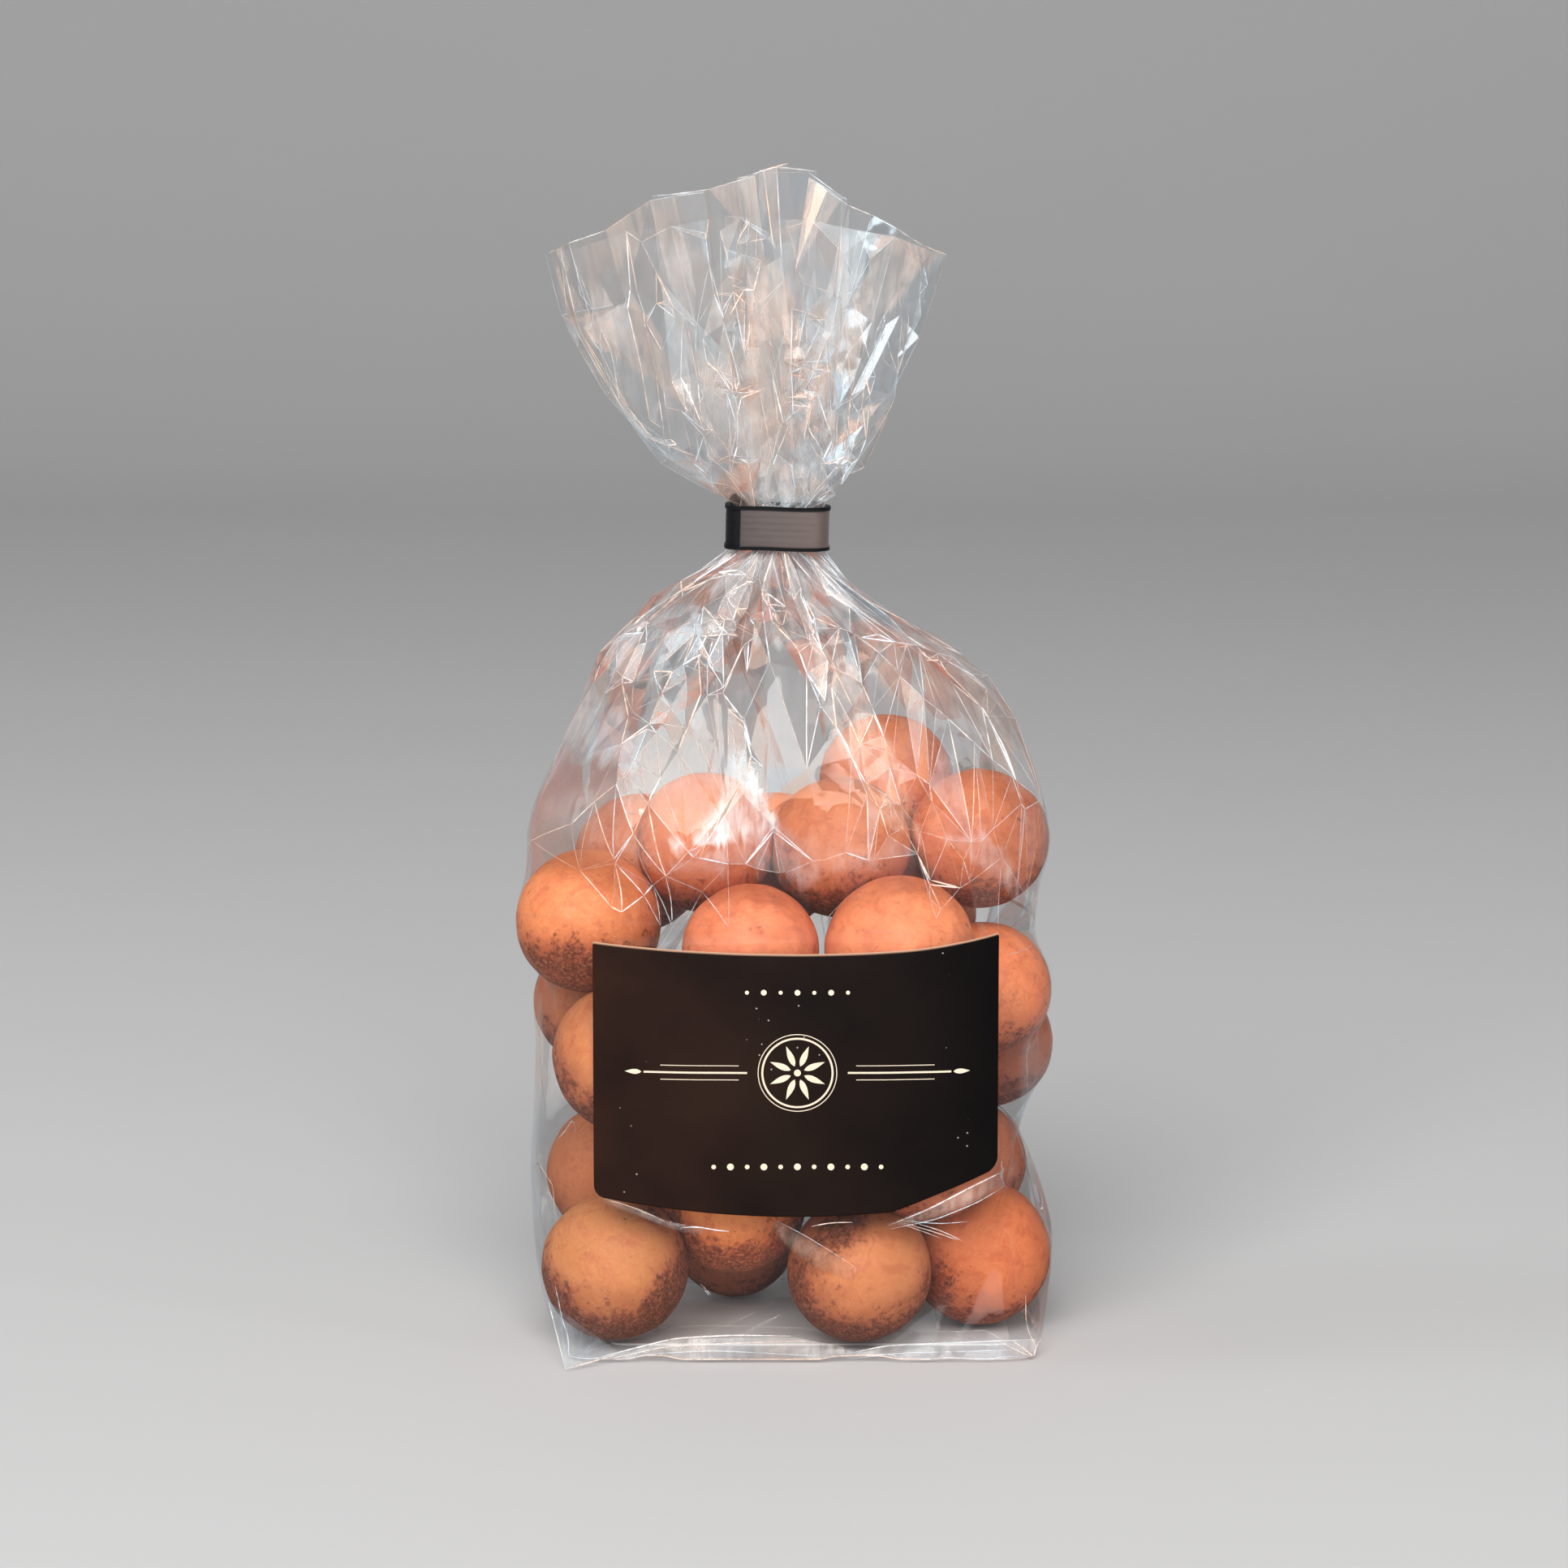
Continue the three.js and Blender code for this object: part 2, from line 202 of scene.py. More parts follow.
def start(nu, nv, rng, teeth):
    s = np.linspace(0, S_TOP, nv + 1)
    u = np.arange(nu) / nu
    z = row_heights(s)
    w = rng.uniform(0.45, 1.6, teeth * 2)
    w /= w.sum()
    e = np.r_[0, np.cumsum(w)]
    amp = rng.uniform(0.6, 1.3, teeth * 2 + 1)
    amp[-1] = amp[0]
    X = np.zeros((nv + 1, nu, 3))
    for j in range(nv + 1):
        a = (col(2, z[j]) - col(1, z[j])) / 2
        b = col(3, z[j])
        n = min(col(5, z[j]), 8)
        P = perim(s[j])
        lean = 0.012 * np.sin(2 * np.pi * (u * 3) + s[j] / 31.0) + 0.008 * np.sin(2 * np.pi * u * 5 + 2 + s[j] / 17.0)
        uu = (u + lean * np.clip((s[j] - 90) / 70, 0, 1)) % 1.0
        tooth = np.interp(uu, e, np.where(np.arange(teeth * 2 + 1) % 2 == 0, 0, 1) * 1.0)
        sizes = np.interp(uu, e, amp)
        c, L = ring(u, a, b, n)
        A = np.sqrt(max(0, (P / (2 * teeth)) ** 2 - (min(L, P) / (2 * teeth)) ** 2))
        A = min(A, 0.62 * b)
        cx, cy = (col(1, z[j]) + col(2, z[j])) / 2, col(4, z[j])
        nx, ny = c[:, 0] / a ** 1.6, c[:, 1] / b ** 1.6
        l = np.hypot(nx, ny)
        ins = A * tooth * sizes
        X[j, :, 0] = cx + c[:, 0] - nx / l * ins
        X[j, :, 1] = cy + c[:, 1] - ny / l * ins
        X[j, :, 2] = z[j]
    return X, s, z


def facet(Q, its_n, its_v, sig, keep):
    """evens out each small panel of the film and sharpens the creases between panels"""
    P00, P10 = Q[:-1], Q[1:]
    P01, P11 = np.roll(P00, -1, 1), np.roll(P10, -1, 1)
    N = np.cross(P11 - P00, P10 - P01)
    N = -N / (np.linalg.norm(N, axis=-1, keepdims=True) + 1e-9)
    for _ in range(its_n):
        acc = N.copy()
        for dj, di in ((0, 1), (0, -1), (1, 0), (-1, 0), (1, 1), (1, -1), (-1, 1), (-1, -1)):
            M = np.roll(N, di, 1)
            if dj:
                M = np.roll(M, dj, 0)
                if dj == 1:
                    M[0] = N[0]
                else:
                    M[-1] = N[-1]
            acc += M * np.exp(-((M - N) ** 2).sum(-1) / (sig * sig))[..., None]
        N = acc / (np.linalg.norm(acc, axis=-1, keepdims=True) + 1e-9)
    for _ in range(its_v):
        P00, P10 = Q[:-1], Q[1:]
        P01, P11 = np.roll(P00, -1, 1), np.roll(P10, -1, 1)
        C = (P00 + P10 + P01 + P11) / 4
        D = np.zeros_like(Q)
        cnt = np.zeros(Q.shape[:2] + (1,))
        for pt, sl, sh in ((P00, slice(0, -1), 0), (P10, slice(1, None), 0), (P01, slice(0, -1), 1), (P11, slice(1, None), 1)):
            D[sl] += np.roll(((C - pt) * N).sum(-1, keepdims=True) * N, sh, 1)
            cnt[sl] += 1
        Q = Q + D / cnt * keep[..., None]
    return Q


def simulate(BALLS, seed=5, log=True, nu=88, nv=60, steps=(200, 110, 36), its=(5, 5, 4), teeth=27, rim_k=0.25):
    rng = np.random.default_rng(seed)
    t0 = time.time()
    X, s, z = start(nu, nv, rng, teeth)
    X = X.astype(f4)
    BALLS = np.asarray(BALLS, float)
    for lev in range(len(steps)):
        if lev > 0:
            Y = np.zeros((X.shape[0] * 2 - 1, X.shape[1] * 2, 3), f4)
            Xr = np.empty((X.shape[0], X.shape[1] * 2, 3), f4)
            Xr[:, 0::2] = X
            Xr[:, 1::2] = (X + np.roll(X, -1, 1)) / 2
            Y[0::2] = Xr
            Y[1::2] = (Xr[1:] + Xr[:-1]) / 2
            X = Y
            nu *= 2
            nv *= 2
            s = np.linspace(0, S_TOP, nv + 1)
        du = (perim(s) / nu).astype(f4)
        dv = S_TOP / nv
        neck = (s >= S_NECK0 - 1e-6) & (s <= S_NECK1 + 1e-6)
        W = np.ones((nv + 1, nu), f4)
        W[0] = 0
        W[neck] = 0
        u = np.arange(nu) / nu
        c, _ = ring(u, (col(2, 0.65) - col(1, 0.65)) / 2, col(3, 0.65), 14)
        base = np.c_[c[:, 0] + 3.2, c[:, 1], np.full(nu, 0.7)].astype(f4)
        c, _ = ring(u, 7.9, 3.1, 4.0)
        zig = np.abs(((np.arange(nu) * 88 / nu / 2.0) % 2) - 1)
        f = 0.3 + 0.7 * zig
        tgt = np.c_[-1.1 + c[:, 0] * f, c[:, 1] * f].astype(f4)
        zc = (Z_NECK0 + (s[neck] - S_NECK0)).astype(f4)
        V = np.zeros_like(X)
        zr = s * 0.93
        hold = np.interp(s, [0, 60, 90, 120, 150, 166, 174, 182, 200, S_TOP],
                         [.004, .006, .02, .06, .05, .03, .03, .05, .08, .10]).astype(f4)
        for it in range(steps[lev]):
            prev = X.copy()
            X += V * (0.88 if lev == 0 else 0.8)
            X[..., 2] -= 0.01
            if it % 2 == 0:
                X += outward(X) * (hold[:, None] * W)[..., None] * (1.6 if lev == 0 else 1.0)
            for _ in range(its[lev]):
                solve(X, W, du, dv, (0.25, 0.3, 0.15)[lev])
                if _ == 0:
                    fill(X, s)
                envelope(X)
                balls_out(X, BALLS, 0.35, zr)
                # the cut top keeps its crown, lower in front than at the back
                r = X[-1]
                back = np.clip(r[:, 1] / 13.8 * 0.5 + 0.5, 0, 1)
                zt = 198.2 + rim_lift(r[:, 0], back)
                r[:, 2] += (zt - r[:, 2]) * rim_k
                zz, xx = X[..., 2], X[..., 0]
                m = (X[..., 1] < -18) & (xx > LAB['x0'] - 0.5) & (xx < LAB['x1'] + 0.5) & (zz > LAB['z0']) & (zz < LAB['z1'])
                if m.any():
                    X[m, 1] += (front(xx[m], zz[m]) - X[m, 1]) * 0.6
                X[..., 2] = np.maximum(X[..., 2], 0.6)
                X[0] = base
                X[neck, :, 0] = tgt[:, 0]
                X[neck, :, 1] = tgt[:, 1]
                X[neck, :, 2] = zc[:, None]
            V = X - prev
            vm = np.linalg.norm(V, axis=-1, keepdims=True)
            V *= np.minimum(1, 1.5 / (vm + 1e-9))
        if log:
            print('level', lev, X.shape, 't', round(time.time() - t0, 1), flush=True)
        if lev >= 1:
            keep = np.ones((nv + 1, nu))
            keep[0] = 0
            keep[neck] = 0
            X = facet(X.astype(float), 8 if lev == 1 else 6, 10, 0.45 if lev == 1 else 0.4, keep).astype(f4)
    balls_out(X, BALLS, 0.3, zr)
    if log:
        print('done', round(time.time() - t0, 1))
    return X.astype(float), s


# =============================================================================================
# helpers
def mesh_object(name, verts, quads, tris=None, smooth=True):
    """a mesh from arrays: verts (n,3) in metres, quads (m,4), tris (k,3)"""
    me = bpy.data.meshes.new(name)
    verts = np.asarray(verts, np.float32).reshape(-1, 3)
    parts = [(np.asarray(quads, np.int32).reshape(-1, 4), 4)] if quads is not None and len(quads) else []
    if tris is not None and len(tris):
        parts.append((np.asarray(tris, np.int32).reshape(-1, 3), 3))
    loops = np.concatenate([p.reshape(-1) for p, _ in parts])
    total = np.concatenate([np.full(len(p), k, np.int32) for p, k in parts])
    first = np.r_[0, np.cumsum(total)[:-1]].astype(np.int32)
    me.vertices.add(len(verts))
    me.vertices.foreach_set('co', verts.reshape(-1))
    me.loops.add(len(loops))
    me.loops.foreach_set('vertex_index', loops)
    me.polygons.add(len(total))
    me.polygons.foreach_set('loop_start', first)
    me.polygons.foreach_set('loop_total', total)
    me.polygons.foreach_set('use_smooth', np.full(len(total), bool(smooth)))
    me.update()
    me.validate()
    o = bpy.data.objects.new(name, me)
    bpy.context.scene.collection.objects.link(o)
    return o


def number(o, name, values):
    a = o.data.attributes.new(name, 'FLOAT', 'POINT')
    a.data.foreach_set('value', np.asarray(values, np.float32).reshape(-1))


def uv_map(o, uv, around=0.0):
    """uv: one pair for each vertex; around: the width after which a closed tube starts again"""
    layer = o.data.uv_layers.new(name='UVMap')
    idx = np.zeros(len(o.data.loops), np.int32)
    o.data.loops.foreach_get('vertex_index', idx)
    c = np.asarray(uv, np.float32)[idx]
    if around:
        q = c.reshape(-1, 4, 2)
        far = q[..., 0].max(1, keepdims=True) > around * 0.6
        q[..., 0] += np.where(far & (q[..., 0] < around * 0.4), around, 0)
    layer.data.foreach_set('uv', c.reshape(-1))


def plain_uv(o, uv, around):
    """the same for a mesh of triangles and quads"""
    layer = o.data.uv_layers.new(name='UVMap')
    me = o.data
    idx = np.zeros(len(me.loops), np.int32)
    me.loops.foreach_get('vertex_index', idx)
    c = np.asarray(uv, np.float32)[idx]
    total = np.zeros(len(me.polygons), np.int32)
    me.polygons.foreach_get('loop_total', total)
    face = np.repeat(np.arange(len(total)), total)
    hi = np.full(len(total), -1e9)
    np.maximum.at(hi, face, c[:, 0])
    c[:, 0] += np.where((hi[face] > around * 0.75) & (c[:, 0] < around * 0.25) & (c[:, 0] >= 0), around, 0)
    layer.data.foreach_set('uv', c.reshape(-1))


class Nodes:
    """a material's node tree, built by short calls"""

    def __init__(self, name):
        self.m = bpy.data.materials.new(name)
        self.m.use_nodes = True
        self.t = self.m.node_tree
        self.t.nodes.clear()
        self.out = self.t.nodes.new('ShaderNodeOutputMaterial')

    def add(self, kind, **kw):
        n = self.t.nodes.new('ShaderNode' + kind)
        for k, v in kw.items():
            if k.startswith('_'):
                setattr(n, k[1:], v)
                continue
            k = int(k[1:]) if k[0] == 'i' and k[1:].isdigit() else k.replace('_', ' ')
            sock = n.inputs[k]
            if isinstance(v, bpy.types.NodeSocket):
                self.t.links.new(v, sock)
            else:
                sock.default_value = v
        return n

    def link(self, a, b):
        self.t.links.new(a, b)

    def math(self, op, a, b=0.0, clamp=False):
        n = self.add('Math', _operation=op, _use_clamp=clamp)
        for i, v in enumerate((a, b)):
            if isinstance(v, bpy.types.NodeSocket):
                self.t.links.new(v, n.inputs[i])
            else:
                n.inputs[i].default_value = v
        return n.outputs[0]

    def ramp(self, fac, stops, mode='LINEAR'):
        n = self.t.nodes.new('ShaderNodeValToRGB')
        n.color_ramp.interpolation = mode
        e = n.color_ramp.elements
        while len(e) < len(stops):
            e.new(0.5)
        for i, (p, c) in enumerate(stops):
            e[i].position = p
            e[i].color = c if len(c) == 4 else (*c, 1)
        self.t.links.new(fac, n.inputs[0])
        return n.outputs[0]

    def mix(self, fac, a, b, blend='MIX'):
        n = self.t.nodes.new('ShaderNodeMix')
        n.data_type = 'RGBA'
        n.blend_type = blend
        for sock, v in ((n.inputs[0], fac), (n.inputs[6], a), (n.inputs[7], b)):
            if isinstance(v, bpy.types.NodeSocket):
                self.t.links.new(v, sock)
            else:
                sock.default_value = v if not isinstance(v, tuple) or len(v) == 4 else (*v, 1)
        return n.outputs[2]

    def attr(self, name):
        return self.add('Attribute', _attribute_name=name).outputs['Fac']

    def attr_colour(self, name):
        return self.add('Attribute', _attribute_name=name).outputs['Color']

    def surface(self, shader):
        self.t.links.new(shader, self.out.inputs[0])
        return self.m


def grid_faces(nv, nu, closed=True, first=0):
    i = np.arange(nu if closed else nu - 1)
    f = []
    for j in range(nv - 1):
        a = first + j * nu + i
        b = first + j * nu + (i + 1) % nu
        f.append(np.c_[a, b, b + nu, a + nu])
    return np.vstack(f)


def normals(X):
    du = np.roll(X, -1, 1) - np.roll(X, 1, 1)
    dv = np.empty_like(X)
    dv[1:-1] = X[2:] - X[:-2]
    dv[0] = X[1] - X[0]
    dv[-1] = X[-1] - X[-2]
    n = np.cross(du, dv)
    return n / (np.linalg.norm(n, axis=-1, keepdims=True) + 1e-9)


def tri_wave(x):
    return np.abs((x % 1.0) * 4 - 2) - 1


def folded(P, rng, folds, size, centre):
    """space mirrored again and again in random planes: what is drawn in it later looks crumpled"""
    p = P.copy()
    for _ in range(folds):
        n = rng.normal(size=3)
        n /= np.linalg.norm(n)
        c = centre + rng.uniform(-1, 1, 3) * size
        d = (p - c) @ n
        p -= 2 * np.minimum(d, 0)[..., None] * n
    return p


def crumple(P, rng, wave, folds, size=(55, 35, 110), centre=(0, 0, 110)):
    p = folded(P, rng, folds, np.array(size, float), np.array(centre, float))
    h = 0
    for w in (1.0, 0.62):
        n = rng.normal(size=3)
        n /= np.linalg.norm(n)
        h = h + w * tri_wave(p @ n / (wave * w) + rng.uniform())
    return h / 1.62


# =============================================================================================
# camera: the photograph's, 0.9 m away and 9 degrees above the horizontal
SHIFT = np.array([-0.68, 0.35, 0.0])          # the part's frame against the film's outline, in mm
ELEV = math.radians(9.0)
DIST = 900.0
AIM = np.array([0.0, 0.0, 101.6])


def to_m(P):
    return (np.asarray(P, float) + SHIFT) / 1000.0


cam = bpy.data.cameras.new('camera')
cam.lens = 112.5
cam.sensor_width = 36
cam_o = bpy.data.objects.new('camera', cam)
bpy.context.scene.collection.objects.link(cam_o)
direction = Vector((0, -math.cos(ELEV), math.sin(ELEV)))
cam_o.location = Vector(to_m(AIM)) + direction * (DIST / 1000)
cam_o.rotation_euler = (-direction).to_track_quat('-Z', 'Y').to_euler()
bpy.context.scene.camera = cam_o


def seen_at(P):
    """where points in mm fall in the photograph's frame of 1932 by 1932"""
    d = P - AIM
    right, up = d[..., 0], d[..., 2] * math.cos(ELEV) + d[..., 1] * math.sin(ELEV)
    deep = DIST - (-d[..., 1] * math.cos(ELEV) + d[..., 2] * math.sin(ELEV))
    return np.stack([966 + 6037.5 * right / deep, 966 - 6037.5 * up / deep], -1)


# =============================================================================================
# marzipan balls: x, y, z, radius in mm, and how much brown cocoa they keep
BALLS = np.array([
    [-31.0, -15.9, 14.6, 13.35, 0.80], [-9.0, -7.8, 24.7, 13.20, 0.70], [13.8, -17.2, 14.4, 13.20, 0.60],
    [36.1, -4.5, 14.4, 13.24, 0.38], [-9.5, 14.6, 13.2, 12.00, 0.45], [-32.0, 11.5, 26.0, 12.74, 0.40],
    [-29.0, -16.7, 54.0, 13.33, 0.55], [-33.8, 10.4, 59.0, 12.85, 0.35], [37.0, -0.1, 63.5, 12.28, 0.16],
    [38.4, 19.4, 49.2, 12.30, 0.25], [33.6, 16.5, 26.9, 12.10, 0.35], [-35.6, -9.9, 78.0, 13.16, 0.36],
    [-6.0, -19.3, 74.0, 12.34, 0.14], [20.9, -18.1, 74.1, 13.50, 0.12], [-14.4, -4.7, 91.5, 12.66, 0.20],
    [-27.0, 18.4, 83.8, 12.76, 0.26], [-2.3, 17.5, 84.3, 12.77, 0.26], [10.2, -4.1, 90.6, 12.80, 0.34],
    [36.0, 0.6, 91.4, 12.84, 0.16], [19.2, 16.4, 99.5, 12.66, 0.24], [5.7, 17.7, 34.8, 13.20, 0.30],
    [26.1, -16.8, 37.0, 13.20, 0.30], [-8.0, 3.7, 52.5, 13.20, 0.30], [22.9, 16.9, 74.6, 13.20, 0.30],
    [2.1, -19.2, 44.7, 12.00, 0.30]])


# darker cocoa and painted shade: ball, to the right and up of its middle as seen from the front, how far it spreads,
# how strong; the patches low on a ball are mostly its shaded underside, painted
COCOA_AND_SHADE_PATCHES = (
    (2, -.42, .70, .46, 1.50), (2, -.10, .84, .36, 1.00), (2, -.78, .10, .36, .80), (2, -.25, -.80, .42, .50), (0, -.78, -.10, .34, .55), (0, -.50, -.72, .42, .85),
    (0, -.05, -.90, .42, .80), (0, .74, -.34, .40, .60), (0, -.45, .80, .30, .50), (0, .54, .78, .28, 1.15), (0, .88, .10, .30, .50), (1, -.30, -.72, .42, .65), (1, .10, .50, .34, .80),
    (1, -.74, -.28, .42, .90), (1, .40, .22, .26, .55), (1, .62, -.50, .36, .40), (6, -.78, -.05, .34, .65), (6, -.30, -.80, .40, .60),
    (5, -.30, .55, .34, .35), (10, -.70, -.35, .42, .45), (18, .00, -.85, .50, .70), (9, .10, -.80, .50, .60), (8, .55, -.60, .40, .30),
    (7, -.60, -.50, .42, .60), (11, -.05, -.74, .62, 2.30), (11, .60, -.62, .40, .70), (11, -.70, -.45, .36, .40), (14, -.10, -.85, .45, .50), (17, .10, -.86, .45, .50),
    (3, .10, -.84, .40, .40), (3, -.74, -.25, .50, 1.10), (3, .20, .40, .30, .40), (13, .35, .30, .25, .35), (12, .1, .45, .25, .35), (17, -.70, .10, .30, .35))


# how much lighter, redder or yellower a ball is than the others: partly each ball's own colour, partly painted light
# and shade that sets how bright each ball looks (ball 1 is painted much lighter)
OWN_TONE_AND_LIGHT = {0: (.86, .86, .90), 1: (1.55, 1.36, 1.05), 2: (.87, .84, .80), 4: (.62, .50, .46), 3: (1.02, .84, .76), 5: (.90, .88, .86), 6: (.87, .86, .82),
       7: (.92, .86, .8), 8: (1.26, 1.20, 1.08), 9: (.86, .74, .66), 10: (.96, .86, .8), 11: (1.10, 1.04, .95), 12: (1.04, .96, .95),
       13: (1.12, 1.10, 1.05), 18: (1.08, 1.02, .95), 17: (.92, .86, .84), 14: (.97, .90, .88)}


SKINS, SURFACE = [], []


def off_the_balls(P, gap):
    """points of the film in mm, moved out of any ball that they would lie in"""
    P = np.array(P, float)
    for c, skin in SKINS:
        d = P - c
        r = np.linalg.norm(d, axis=1)
        near = np.flatnonzero((r < 14.6) & (r > 5))
        out = skin - c
        far = np.linalg.norm(out, axis=1)
        out = (out / far[:, None]).astype(np.float32)
        for part in np.array_split(near, len(near) // 1500 + 1):
            u = d[part] / r[part][:, None]
            local = far[(u.astype(np.float32) @ out.T).argmax(1)]
            P[part] += u * np.maximum(0, local + gap - r[part])[:, None]
    return P


def make_balls():
    bm = bmesh.new()
    bmesh.ops.create_icosphere(bm, subdivisions=5, radius=1.0)
    unit = np.array([v.co[:] for v in bm.verts])
    tris = np.array([[v.index for v in f.verts] for f in bm.faces])
    bm.free()
    rng = np.random.default_rng(21)
    V, T, cocoa, seed, pale, lit, patch, own = [], [], [], [], [], [], [], []
    for k, (x, y, z, r, dark) in enumerate(BALLS):
        c = np.array([x, y, z])
        # uneven by hand rolling: a slight egg shape, a few flats, and a lumpy skin
        shape = 1 + rng.uniform(-0.014, 0.014, 3)
        p = unit * shape
        d = np.zeros(len(unit))
        for _ in range(7):
            n = rng.normal(size=3)
            d += rng.uniform(0.15, 0.4) * 0.0085 * np.sin(unit @ n * rng.uniform(1.6, 3.4) + rng.uniform(0, 6.3))
        for _ in range(16):
            n = rng.normal(size=3)
            n /= np.linalg.norm(n)
            d += 0.0011 * np.sin(unit @ n * rng.uniform(9, 22) + rng.uniform(0, 6.3))
        for _ in range(3):
            n = rng.normal(size=3)
            n /= np.linalg.norm(n)
            w = np.clip((unit @ n - 0.80) / 0.2, 0, 1)
            d -= 0.014 * w * w
        for _ in range(5):
            n = rng.normal(size=3)
            n /= np.linalg.norm(n)
            a = np.arccos(np.clip(unit @ n, -1, 1))
            d -= rng.uniform(0.004, 0.010) * np.exp(-(a / rng.uniform(0.06, 0.13)) ** 2)
        P = c + p * (1 + d)[:, None] * r
        # flat where two balls, the bottom or the film press
        for m, b in enumerate(BALLS):
            if m == k:
                continue
            v = b[:3] - c
            L = np.linalg.norm(v)
            if L < r + b[3] + 0.8:
                n = v / L
                lim = (L * L + r * r - b[3] ** 2) / (2 * L) - 0.08
                over = (P - c) @ n - lim
                P -= np.where(over > 0, over, 0)[:, None] * n
        P[:, 2] = np.maximum(P[:, 2], 1.35)
        V.append(P)
        SKINS.append((c, P))
        T.append(tris + k * len(unit))
        cocoa.append(np.full(len(unit), dark))
        own.append(np.tile(np.r_[OWN_TONE_AND_LIGHT.get(k, (1.0, .95, .92)), 1.0], (len(unit), 1)))
        seed.append(np.full(len(unit), rng.uniform(0, 50)))
        # the rubbed, paler side looks out of the bag, a little upwards: partly cocoa rubbed off, partly a painted lit
        # side, paler where it faces the lamps and the viewer and darker towards its rim
        n = np.array([0.1 * np.sign(x) + rng.uniform(-.15, .15), -1, 0.42 + rng.uniform(-.15, .15)])
        n /= np.linalg.norm(n)
        pale.append(unit @ n)
        lit.append(unit[:, 2])
        q = np.zeros(len(unit))
        for which, dx, dz, wide, strong in COCOA_AND_SHADE_PATCHES:
            if which == k:
                m_ = np.array([dx, -math.sqrt(max(0.02, 1 - dx * dx - dz * dz)), dz])
                q += strong * np.exp(-(np.arccos(np.clip(unit @ m_ / np.linalg.norm(m_), -1, 1)) / wide) ** 2)
        patch.append(q)
    o = mesh_object('marzipan_balls', to_m(np.vstack(V)), None, np.vstack(T))
    number(o, 'cocoa', np.concatenate(cocoa))
    number(o, 'seed', np.concatenate(seed))
    number(o, 'pale', np.concatenate(pale))
    number(o, 'up', np.concatenate(lit))
    number(o, 'patch', np.concatenate(patch))
    shade = o.data.attributes.new('own', 'FLOAT_COLOR', 'POINT')
    shade.data.foreach_set('color', np.vstack(own).astype(np.float32).reshape(-1))
    o.data.materials.append(marzipan())
    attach(o, 'root')
    return o


